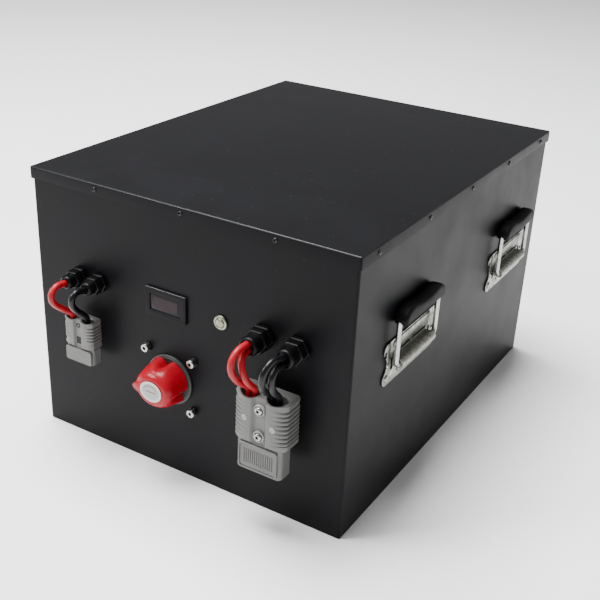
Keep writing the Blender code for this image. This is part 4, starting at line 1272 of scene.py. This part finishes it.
    def hollow_out(self, housing: bpy.types.Object, upright: Matrix) -> None:
        """Cuts the lead mouths with their dipped fronts, and the mating face's cavity.

        Args:
            housing: The solid housing.
            upright: Its frame, as (x, depth, z).
        """
        half, low, high, _, front = self.size()
        cutters = []
        for side in (-1, 1):
            x, r = side * (self.mouth_spread + self.mouth_out), self.mouth_radius
            profile = [(r, self.mouth_floor), (r, high - 0.0012), (r + 0.0006, high - 0.0004),
                       (r + 0.0014, high + 0.0006), (r + 0.0014, high + 0.004)]
            bore = lathe(profile, 56, Matrix.Diagonal((self.mouth_width / r, 1.0, 1.0, 1.0)))
            bore.transform(Matrix.Translation((x, self.mouth_depth, 0)))
            bore.transform(upright)
            face_outwards(bore)
            cutters.append(piece_from("mouth", bore, SEAL))
        dx, dy, dz = self.cavity
        centre = (front + self.hood_back) / 2
        hollow = box((-dx / 2, centre - dy / 2, low - 0.01), (dx / 2, centre + dy / 2, low + dz), upright)
        face_outwards(hollow)
        cutters.append(piece_from("cavity", hollow, SEAL))
        for side in (-1, 1):
            wedge = bmesh.new()
            reach_x = half - self.mouth_spread * 0.12
            near, far = self.mouth_depth - 0.001, front + 0.002
            # A shallow V across each mouth's front: its low corner is at the front, the rest clear the rim.
            corners = [wedge.verts.new(at) for at in (
                (side * self.mouth_spread, far, high - self.dip * 1.25),
                (side * -0.004, far, high + 0.0008), (side * (reach_x + 0.006), far, high + 0.0008),
                (side * 0.0006, near, high + 0.0005), (side * reach_x, near, high + 0.0005),
                (side * self.mouth_spread, far, high + 0.01))]
            bmesh.ops.convex_hull(wedge, input=corners)
            wedge.transform(upright)
            face_outwards(wedge)
            cutters.append(piece_from("dip", wedge, SEAL))
        boolean(housing, "DIFFERENCE", cutters)

    def build_label(self, upright: Matrix) -> None:
        """Adds the raised frame of the hood's blank label field.

        Args:
            upright: The housing's frame.
        """
        _, low, _, _, front = self.size()
        inner_x = self.hood_width / 2 - self.label_margin
        bottom, top = low + self.label_margin * 0.55, low + self.hood - 0.0018
        outline = rounded_rectangle(inner_x, (top - bottom) / 2, 0.0022, 8)
        centre = (top + bottom) / 2
        arch = 0.0022
        raised = []
        for x, z in outline:
            lift = arch * (1 - (x / inner_x) ** 2) if z > 0 else 0.0
            raised.append((x, centre + z + lift))
        shape = bmesh.new()
        field = [(x * 0.93, centre + (z - centre) * 0.87 - 0.0002) for x, z in raised]
        lip = [(x * 0.985, centre + (z - centre) * 0.975) for x, z in raised]
        levels = ((raised, front - 0.0030), (raised, front - 0.0005), (lip, front - 0.0001),
                  (field, front - 0.0001), (field, front - self.recess))
        rows = [[shape.verts.new((x, depth, z)) for x, z in ring] for ring, depth in levels]
        count = len(outline)
        for a, b in zip(rows, rows[1:]):
            for i in range(count):
                j = (i + 1) % count
                shape.faces.new((a[i], a[j], b[j], b[i]))
        shape.faces.new(rows[-1])
        shape.faces.new(list(reversed(rows[0])))
        shape.transform(upright)
        face_outwards(shape)
        frame = piece_from(f"{self.label}_label_frame", shape, GREY_PC)
        ribs = []
        for i in range(self.label_ribs):
            x = inner_x * 0.72 * (2 * i / (self.label_ribs - 1) - 1)
            tall = (top - bottom) * 0.27
            bar = box((x - 0.0004, front - self.recess - 0.0004, centre - tall),
                      (x + 0.0004, front - 0.0003, centre + tall), upright)
            face_outwards(bar)
            ribs.append(piece_from("rib", bar, GREY_PC))
        boolean(frame, "UNION", ribs)
        place_piece(frame, CASE_BODY, "connector_grey")

    def build_contacts(self, upright: Matrix) -> None:
        """Adds the two flat contacts inside the mating cavity.

        Args:
            upright: The housing's frame.
        """
        _, low, _, _, front = self.size()
        middle_depth = (front + self.hood_back) / 2
        for side, word in ((-1, "red"), (1, "black")):
            x = side * self.mouth_spread
            wide, thick = self.mouth_radius * 0.8, 0.0012
            blade = box((x - wide, middle_depth - thick, low + 0.003),
                        (x + wide, middle_depth + thick, low + self.cavity[2] + 0.001), upright)
            face_outwards(blade)
            contact = add_bevel(piece_from(f"{self.label}_contact_{word}", blade, SILVER), 0.0006, 3)
            place_piece(contact, CASE_BODY, "brass")


@dataclass
class ConnectorScrews:
    """The large connector's two pan-head screws, in round seats between its barrels. Sizes in metres."""

    head: float = 0.0039
    seat: float = 0.0056
    pocket: float = 0.0046

    def build(self) -> None:
        """Builds both seats and both screws."""
        front = reach("power_connector")
        for word in ("upper", "lower"):
            node = f"power_connector_screw_{word}"
            place, top = panel_axis(node), reach(node)
            ring = [(self.seat + 0.0004, front - 0.0045), (self.seat, front - 0.0009),
                    (self.seat - 0.0006, front - 0.0003), (self.pocket + 0.0003, front - 0.0003),
                    (self.pocket, front - 0.0006), (self.pocket, front - 0.0018)]
            # The seat takes the paler polycarbonate: a painted highlight on its lit rim.
            seat = piece_from(f"power_seat_{word}", lathe(ring, 56, place), PALE_PC)
            place_piece(seat, CASE_BODY, "connector_grey")
            foot = front - 0.0012
            pan = [(self.head - 0.0003, foot), (self.head, foot + 0.0004), (self.head, top - 0.0012),
                   (self.head - 0.0004, top - 0.0006), (self.head - 0.0011, top - 0.00015), (0.0014, top)]
            screw = piece_from(f"power_screw_{word}", lathe(pan, 56, place), STAINLESS)
            bars = []
            for wide, tall in ((0.0022, 0.0005), (0.0005, 0.0022)):
                turned = place @ Matrix.Rotation(math.radians(25 if word == "upper" else 62), 4, "Z")
                bar = box((-wide, -tall, top - 0.0016), (wide, tall, top + 0.001), turned)
                face_outwards(bar)
                bars.append(piece_from("bar", bar, STAINLESS))
            dish = lathe([(0.0008, top - 0.0012), (0.0017, top + 0.0003), (0.0017, top + 0.001)], 32, place)
            bars.append(piece_from("dish", dish, STAINLESS))
            boolean(screw, "DIFFERENCE", bars)
            # The faces inside the cross recess take the dark oxide finish: painted shade in the recess.
            back = place.inverted()
            two_tone(screw, BLACK_OXIDE, lambda face: (back @ face.center).xy.length < 0.0023
                     and (back @ face.center).z < top - 0.0003)
            place_piece(screw, CASE_BODY, "stainless", node)


@dataclass
class KeyMarks:
    """The small connector's round stud and square latch hole, between its barrels. Sizes in metres."""

    stud: float = 0.0027
    stud_height: float = 0.1418
    latch: float = 0.0030
    latch_height: float = 0.1255
    strip_depth: float = 0.0024

    def build(self) -> None:
        """Builds a dark disc with a stud on it, and a dark square, laid on the strip: painted shade standing
        in for the round well and the square latch hole.
        """
        x, front = middle("charge_connector").x, reach("charge_connector") - self.strip_depth
        # Both dark pieces are thin black plates standing just proud of the strip, with no hole cut: painted
        # shade.
        well = lathe([(self.stud, front - 0.0010), (self.stud, front + 0.00005)], 32,
                     panel_place(x, self.stud_height))
        place_piece(piece_from("charge_stud_well_shade", well, SEAL), CASE_BODY, "connector_grey")
        stud = lathe([(self.stud * 0.4, front - 0.0010), (self.stud * 0.4, front + 0.0002)], 24,
                     panel_place(x, self.stud_height))
        place_piece(piece_from("charge_stud", stud, GREY_PC), CASE_BODY, "connector_grey")
        tall = self.latch * 1.3
        latch = box((-self.latch, -tall, front - 0.0010), (self.latch, tall, front + 0.00005),
                    panel_place(x, self.latch_height))
        face_outwards(latch)
        place_piece(piece_from("charge_latch_hole_shade", latch, SEAL), CASE_BODY, "connector_grey")


@dataclass
class PolarityMarks:
    """Raised round marks with a minus or a plus, one on each barrel of the large connector. In metres."""

    spread: float = 0.0148
    heights: tuple[float, float] = (0.1195, 0.1165)
    radius: float = 0.0029

    def build(self) -> None:
        """Builds both marks as one piece."""
        x, front = middle("power_connector").x, reach("power_connector")
        shape = bmesh.new()
        for side, height in zip((-1, 1), self.heights):
            place = panel_place(x + side * self.spread, height)
            ring = [(self.radius, front - 0.002), (self.radius, front + 0.0002),
                    (self.radius - 0.0002, front + 0.0004), (self.radius - 0.0006, front + 0.0004),
                    (self.radius - 0.0008, front + 0.0001)]
            self.join(shape, lathe(ring, 40, place))
            bars = [(self.radius * 0.45, self.radius * 0.12)]
            if side > 0:
                bars.append((self.radius * 0.12, self.radius * 0.45))
            for wide, tall in bars:
                self.join(shape, box((-wide, -tall, front - 0.0010), (wide, tall, front + 0.0004), place))
        piece = piece_from("power_polarity_marks", shape, PALE_PC)
        place_piece(piece, CASE_BODY, "connector_grey")

    def join(self, shape: bmesh.types.BMesh, other: bmesh.types.BMesh) -> None:
        """Adds one mesh to another and frees it."""
        mesh = bpy.data.meshes.new("part")
        other.to_mesh(mesh)
        other.free()
        shape.from_mesh(mesh)
        bpy.data.meshes.remove(mesh)


# ------------------------------------------------------------------ leads

LEAD_ROUTES_MM = {
    # Points are (x, outwards from the panel, height), from the gland's seal to the barrel's floor.
    "charge_lead_red": (
        (-123.5, 27.0, 184.9), (-123.5, 33.0, 185.4), (-123.4, 38.5, 183.6), (-123.2, 42.2, 179.3),
        (-122.8, 42.6, 173.6), (-122.2, 39.5, 168.4), (-121.5, 34.5, 163.8), (-120.9, 29.3, 159.4),
        (-120.4, 23.8, 155.6), (-120.1, 19.5, 151.4)),
    "charge_lead_black": (
        (-98.5, 27.0, 184.8), (-98.5, 32.2, 185.8), (-98.6, 37.2, 184.8), (-98.9, 40.3, 180.6),
        (-99.4, 40.2, 175.0), (-100.0, 37.2, 169.9), (-100.7, 32.6, 165.2), (-101.3, 27.6, 160.6),
        (-101.7, 22.6, 156.0), (-101.9, 19.1, 151.4)),
    "power_lead_red_upper": (
        (90.5, 31.0, 188.3), (90.5, 37.0, 188.3), (90.4, 43.5, 186.4), (90.2, 48.2, 181.8),
        (90.2, 50.0, 175.5), (90.6, 48.6, 169.0), (91.2, 44.9, 163.0), (91.5, 40.2, 157.6),
        (92.0, 34.6, 153.2), (93.1, 29.3, 149.0), (93.3, 25.9, 145.0)),
    "power_lead_red_lower": (
        (90.6, 29.0, 180.6), (91.2, 33.6, 179.1), (92.6, 37.4, 175.8), (94.6, 39.4, 170.8),
        (96.4, 39.4, 165.3), (97.8, 37.4, 159.8), (99.0, 34.0, 154.8), (100.0, 29.8, 150.2),
        (100.5, 26.2, 146.0)),
    "power_lead_black_upper": (
        (127.5, 31.0, 188.4), (127.3, 38.0, 190.2), (126.8, 45.0, 190.2), (126.0, 51.0, 186.8),
        (125.2, 54.2, 181.2), (124.3, 54.2, 174.7), (123.2, 51.8, 168.6), (121.8, 47.0, 163.0),
        (120.3, 41.4, 158.0), (119.0, 35.4, 153.6), (118.2, 29.6, 149.4), (117.9, 26.0, 145.0)),
    "power_lead_black_lower": (
        (127.6, 30.0, 180.9), (127.7, 35.6, 181.0), (127.6, 40.4, 178.8), (127.4, 43.2, 174.2),
        (127.2, 43.2, 168.6), (126.9, 41.2, 163.2), (126.5, 37.6, 158.2), (126.0, 33.4, 153.8),
        (125.5, 29.0, 149.6), (125.2, 26.0, 145.2)),
}


@dataclass
class Leads:
    """The six leads between the glands and the connectors. Sizes are in metres."""

    radius: float = 0.0032
    spread: float = 0.0034
    seal_depth: float = 0.0027
    points: int = 72

    def route(self, name: str, connector: Connector) -> list[Vector]:
        """One lead's centreline.

        Args:
            name: The lead's frame node.
            connector: The connector that it goes into.

        Returns:
            Evenly spaced points.
        """
        wall = corner_box("case_shell")[0].y
        colour = "red" if "_red" in name else "black"
        side = -1 if colour == "red" else 1
        power = name.startswith("power")
        nut = f"gland_nut_{name.split('_')[0]}_{colour}"
        offset = self.spread * (1 if name.endswith("upper") else -1) if power else 0.0
        gland = middle(nut)
        start = Vector((gland.x, wall - reach(nut) + self.seal_depth, gland.z + offset))
        x = middle(f"{connector.label}_connector").x + side * connector.mouth_spread - offset
        y, high = wall - connector.mouth_depth, connector.size()[2]
        path = [Vector((a * MM, wall - b * MM, c * MM)) for a, b, c in LEAD_ROUTES_MM[name]]
        return smooth_path([start, *path, Vector((x, y, high - 0.0025)),
                            Vector((x, y, connector.mouth_floor + 0.0003))], self.points)

    def build(self, connectors: dict[str, Connector], housings: dict[str, bpy.types.Object]) -> None:
        """Args:
            connectors: The connectors by label.
            housings: Their finished housings by label; not used.
        """
        for name in LEAD_ROUTES_MM:
            label = name.split("_")[0]
            path = self.route(name, connectors[label])
            red = "_red" in name
            wire = tube(f"{name}_wire", path, self.radius, RED_SILICONE if red else BLACK_SILICONE, 8)
            place_piece(wire, CASE_BODY, "lead_red" if red else "lead_black", name)


# ------------------------------------------------------------------ handles

@dataclass
class Handle:
    """A drop handle on a side wall: pressed plate, sprung bail and moulded grip. Sizes are in metres.

    Its own frame has +X along the wall, +Y up and +Z out of the wall, with its origin under the bail's axis.
    """

    side: str
    end: str
    bail_radius: float = 0.0025
    plate_low: float = 0.0190
    half_length: float = 0.0560
    half_tunnel: float = 0.0352
    tunnel_radius: float = 0.0052
    sheet: float = 0.0016

    @property
    def label(self) -> str:
        """The handle's place, as its nodes name it."""
        return f"{self.side}_{self.end}"

    def place(self) -> Matrix:
        """The handle's frame."""
        plate_low, plate_high = corner_box(f"handle_plate_{self.label}")
        wall = corner_box("case_shell")[1].x
        across = 1 if self.side == "right" else -1
        turn = Matrix(((0, 0, across, 0), (across, 0, 0, 0), (0, 1, 0, 0), (0, 0, 0, 1)))
        origin = (across * wall, (plate_low.y + plate_high.y) / 2, plate_low.z + self.plate_low)
        return Matrix.Translation(origin) @ turn

    def pivot(self) -> float:
        """How far the bail's axis stands from the wall."""
        low, high = corner_box(f"handle_bail_{self.label}")
        wall = corner_box("case_shell")[1].x
        return abs((low.x + high.x) / 2) - wall

    def build(self) -> None:
        """Builds the plate, its fasteners, the bail and the grip."""
        self.build_plate()
        self.build_fasteners()
        self.build_bail()
        self.build_grip()

    def outline(self, inset: float = 0.0) -> list[tuple[float, float]]:
        """The plate's outline: two lobes at each end, with a waist between them.

        Args:
            inset: How far inside the edge to draw it.

        Returns:
            The points, anticlockwise.
        """
        end, top, low = self.half_length - inset, 0.0250 - inset, -self.plate_low + inset
        lobe = 0.0072 - inset
        waist = self.half_length - 0.0068 - inset
        right = []
        for angle in range(-90, 61, 15):
            a = math.radians(angle)
            right.append((end - lobe + lobe * math.cos(a), low + lobe + lobe * math.sin(a)))
        right.append((waist, (low + top) / 2 - 0.003))
        right.append((waist, (low + top) / 2 + 0.003))
        for angle in range(-60, 91, 15):
            a = math.radians(angle)
            right.append((end - lobe + lobe * math.cos(a), top - lobe + lobe * math.sin(a)))
        return right + [(-x, y) for x, y in reversed(right)]

    def build_plate(self) -> None:
        """Makes the pressed plate with its ridge and slots, and the hinge tunnel rolled over the rod."""
        place = self.place()
        pivot = self.pivot()
        axle = place @ Matrix.Translation((0, 0, pivot)) @ Matrix.Rotation(math.radians(90), 4, "Y")
        plate = piece_from(f"handle_{self.label}_plate", slab(self.outline(), 0.0003, self.sheet, place),
                           DULL_ZINC, 30.0)
        ridge = slab(rounded_rectangle(0.0400, 0.0030, 0.0029), 0.0010, self.sheet + 0.0010,
                     place @ Matrix.Translation((0, 0.0205, 0)), 0.0006)
        rolled, end, lip = self.tunnel_radius, self.half_tunnel, 0.0004
        tunnel = lathe([(rolled - lip, -end), (rolled, lip - end), (rolled, end - lip), (rolled - lip, end)],
                       48, axle)
        web = box((-self.half_tunnel + 0.001, -self.tunnel_radius + 0.0003, 0.0008),
                  (self.half_tunnel - 0.001, self.tunnel_radius - 0.0003, pivot), place)
        face_outwards(web)
        boolean(plate, "UNION", [piece_from("ridge", ridge, DULL_ZINC)])
        cutters = []
        for x, y, half_x, half_y in self.slots():
            hole = slab(rounded_rectangle(half_x, half_y, min(half_x, half_y) * 0.6), -0.001, 0.01,
                        place @ Matrix.Translation((x, y, 0)))
            cutters.append(piece_from("slot", hole, DULL_ZINC))
        boolean(plate, "DIFFERENCE", cutters)
        add_bevel(plate, 0.00035, 2, 50.0)
        place_piece(plate, CASE_BODY, "zinc_plate", f"handle_plate_{self.label}")
        barrel = boolean(piece_from(f"handle_{self.label}_tunnel", tunnel, ROLLED_ZINC), "UNION",
                         [piece_from("web", web, ROLLED_ZINC)])
        bore = lathe([(self.bail_radius + 0.0003, -0.05), (self.bail_radius + 0.0003, 0.05)], 32, axle)
        boolean(barrel, "DIFFERENCE", [piece_from("bore", bore, ROLLED_ZINC)])
        place_piece(barrel, CASE_BODY, "zinc_plate")

    def slots(self) -> list[tuple[float, float, float, float]]:
        """The plate's openings, as (x, y, half width, half height), on both sides of its middle."""
        near = [(0.0170, 0.0092, 0.0150, 0.0013), (0.0388, 0.0005, 0.0026, 0.0066),
                (0.0525, 0.0140, 0.0022, 0.0030)]
        return near + [(-x, y, half_x, half_y) for x, y, half_x, half_y in near]

    def build_fasteners(self) -> None:
        """Sets a screw at each lower lobe, three rivets along the lower band and one at each waist."""
        place = self.place()
        out = (place.to_3x3() @ Vector((0, 0, 1))).normalized()
        reach_x = self.half_length - 0.0068
        screws = Fasteners(f"handle_{self.label}_screws", 0.0036, 0.0017, STAINLESS, seed=len(self.label))
        for x in (-reach_x, reach_x):
            screws.places.append((place @ Vector((x, -0.0110, self.sheet)), out))
        screws.build(CASE_BODY, "zinc_plate")
        rivets = Fasteners(f"handle_{self.label}_rivets", 0.0026, 0.0010, ZINC, Drive.PLAIN)
        band = [(x, -0.0125) for x in (-0.026, 0.0, 0.026)]
        waists = [(x, 0.0015) for x in (-0.0470, 0.0470)]
        for x, y in band + waists:
            rivets.places.append((place @ Vector((x, y, self.sheet)), out))
        rivets.build(CASE_BODY, "zinc_plate")

    def rod(self) -> list[tuple[float, float]]:
        """The bail's centreline in the plane of the wall, from one end in the tunnel to the other."""
        low, high = corner_box(f"handle_bail_{self.label}")
        half = (high.y - low.y) / 2 - self.bail_radius
        rise = high.z - low.z - 2 * self.bail_radius
        bend = 0.006
        right = [(self.half_tunnel - 0.012, 0.0), (half - bend, 0.0)]
        for step in range(1, 9):
            a = math.radians(90 * step / 8)
            right.append((half - bend + bend * math.sin(a), bend - bend * math.cos(a)))
        for step in range(9):
            a = math.radians(90 * step / 8)
            right.append((half - bend + bend * math.cos(a), rise - bend + bend * math.sin(a)))
        return right + [(-x, y) for x, y in reversed(right)]

    def build_bail(self) -> None:
        """Makes the bail from one bent rod."""
        place = self.place() @ Matrix.Translation((0, 0, self.pivot()))
        path = [place @ Vector((x, y, 0)) for x, y in self.rod()]
        bail = meshed(tube(f"handle_{self.label}_rod", path, self.bail_radius, ZINC, 7))
        place_piece(bail, f"handle_{self.label}", "zinc_plate", f"handle_bail_{self.label}")

    def build_grip(self) -> None:
        """Makes the moulded grip: soft round edges, and a top with two low humps."""
        low, high = corner_box(f"handle_grip_{self.label}")
        frame_place = self.place()
        back = frame_place.inverted()
        ends = [back @ low, back @ high]
        half = abs(ends[0].x - ends[1].x) / 2
        bottom, top = sorted((ends[0].y, ends[1].y))
        inner, outer = sorted((ends[0].z, ends[1].z))
        count = 40
        rings = []
        for i in range(count + 1):
            t = -math.cos(math.pi * i / count)
            x = half * t
            away = abs(t)
            saddle = 0.0026 * (1 - min(1.0, away / 0.55) ** 2)
            crown = top - saddle - 0.0075 * max(0.0, (away - 0.62) / 0.38) ** 2.2
            foot = bottom + 0.0030 * max(0.0, (away - 0.86) / 0.14) ** 2
            full = math.sqrt(max(0.0, 1 - max(0.0, (away - 0.90) / 0.10) ** 2))
            mid_y, mid_z = (crown + foot) / 2, (inner + outer) / 2
            swell = 0.30 + 0.70 * full
            half_y, half_z = max(0.0012, (crown - foot) / 2 * swell), (outer - inner) / 2 * swell
            ring = []
            for k in range(40):
                a = 2 * math.pi * k / 40
                c, s = math.cos(a), math.sin(a)
                power = 0.55  # under 1, so that the section is a rounded square
                ring.append(Vector((x, mid_y + half_y * math.copysign(abs(c) ** power, c),
                                    mid_z + half_z * math.copysign(abs(s) ** power, s))))
            rings.append(ring)
        shape = loft(rings, frame_place)
        face_outwards(shape)
        grip = piece_from(f"handle_{self.label}_grip", shape, VINYL, 60.0)
        place_piece(grip, f"handle_{self.label}", "grip_vinyl", f"handle_grip_{self.label}")


# ------------------------------------------------------------------ stage, light and camera

@dataclass(frozen=True)
class Camera:
    """The view. Sizes are in metres, angles in degrees."""

    place: tuple[float, float, float] = (0.5005, -0.8716, 0.5929)
    azimuth: float = 30.26
    elevation: float = 25.98
    roll: float = 2.84
    lens_mm: float = 58.71

    def build(self) -> None:
        """Makes the camera and sets it as the scene's."""
        azimuth, elevation, roll = (math.radians(v) for v in (self.azimuth, self.elevation, self.roll))
        back = Vector((math.sin(azimuth) * math.cos(elevation), -math.cos(azimuth) * math.cos(elevation),
                       math.sin(elevation)))
        right = Vector((0, 0, 1)).cross(back).normalized()
        up = back.cross(right)
        turned_right = math.cos(roll) * right + math.sin(roll) * up
        turned_up = -math.sin(roll) * right + math.cos(roll) * up
        lens = bpy.data.cameras.new("view")
        lens.lens = self.lens_mm
        lens.sensor_width = 36.0
        lens.clip_start = 0.05
        camera = bpy.data.objects.new("view", lens)
        camera.matrix_world = Matrix((turned_right, turned_up, back)).transposed().to_4x4()
        camera.location = self.place
        bpy.context.scene.collection.objects.link(camera)
        bpy.context.scene.camera = camera
        LOG.info("camera at %s", self.place)


@dataclass(frozen=True)
class Studio:
    """White floor and soft lights. Sizes are in metres."""

    world: float = 0.35
    lights: tuple[tuple[str, tuple[float, float, float], tuple[float, float, float], float, float], ...] = (
        # name, place, aim, size, watts
        ("overhead", (-0.6, 0.0, 2.8), (0.0, 0.1, 0.0), 1.6, 260.0),
        ("left_front", (-1.5, -1.5, 1.8), (0.0, -0.2, 0.1), 0.7, 55.0),
    )

    def build(self) -> None:
        """Makes the floor, the world and the lights."""
        shape = bmesh.new()
        bmesh.ops.create_grid(shape, x_segments=1, y_segments=1, size=6.0)
        bmesh.ops.translate(shape, vec=(0, 0, -0.0005), verts=shape.verts)
        floor = piece_from("floor", shape, FLOOR, None)
        world = bpy.data.worlds.new("studio")
        world.use_nodes = True
        background = world.node_tree.nodes["Background"]
        background.inputs["Color"].default_value = (1.0, 1.0, 1.0, 1.0)
        background.inputs["Strength"].default_value = self.world
        bpy.context.scene.world = world
        for name, place, aim, size, watts in self.lights:
            lamp = bpy.data.lights.new(name, "AREA")
            lamp.size = size
            lamp.energy = watts
            light = bpy.data.objects.new(name, lamp)
            light.location = place
            light.rotation_euler = (Vector(place) - Vector(aim)).to_track_quat("Z", "Y").to_euler()
            bpy.context.scene.collection.objects.link(light)
        LOG.info("studio has %d lights", len(self.lights))


def main() -> None:
    """Builds the scene: camera, connectors with their leads, and then every other piece."""
    logging.basicConfig(level=logging.INFO, format="%(message)s")
    Camera().build()
    connectors = {
        "charge": Connector(
            "charge", hood_width=0.0345, hood=0.0170, mouth_spread=0.0090, mouth_depth=0.0180,
            mouth_radius=0.0050, mouth_floor=0.1400, rib_pitch=0.0034, rib_count=5, rib_top=0.0060,
            dip=0.0018, cavity=(0.0290, 0.0084, 0.0220), hood_back=0.0095, mouth_width=0.0068,
            mouth_out=0.0006, strip=0.0032, rise=0.0018, valley=0.0024, rib_depth=0.0010,
            label_margin=0.0009, recess=0.0002),
        "power": Connector(
            "power", hood_width=0.0480, hood=0.0306, mouth_spread=0.0125, mouth_depth=0.0248,
            mouth_radius=0.0080, mouth_floor=0.1320, rib_pitch=0.0044, rib_count=8, rib_top=0.0075,
            dip=0.0030, cavity=(0.0400, 0.0120, 0.0280), hood_back=0.0157, mouth_width=0.0102,
            mouth_out=0.0013, strip=0.0046, rise=0.0040, label_ribs=14),
    }
    housings = {label: connector.build() for label, connector in connectors.items()}
    Leads().build(connectors, housings)
    PolarityMarks().build()
    ConnectorScrews().build()
    KeyMarks().build()
    Studio().build()
    Case().build()
    Internals().build()
    Isolator().build()
    Meter().build()
    PushButton().build()
    for colour in ("red", "black"):
        Gland(f"power_{colour}", flats=0.0224, tip_radius=0.0084, bore=0.0071).build()
        Gland(f"charge_{colour}", flats=0.0176, tip_radius=0.0058, bore=0.0040).build()
    for side in ("right", "left"):
        for end in ("front", "rear"):
            Handle(side, end).build()


if __name__ == "__main__":
    main()
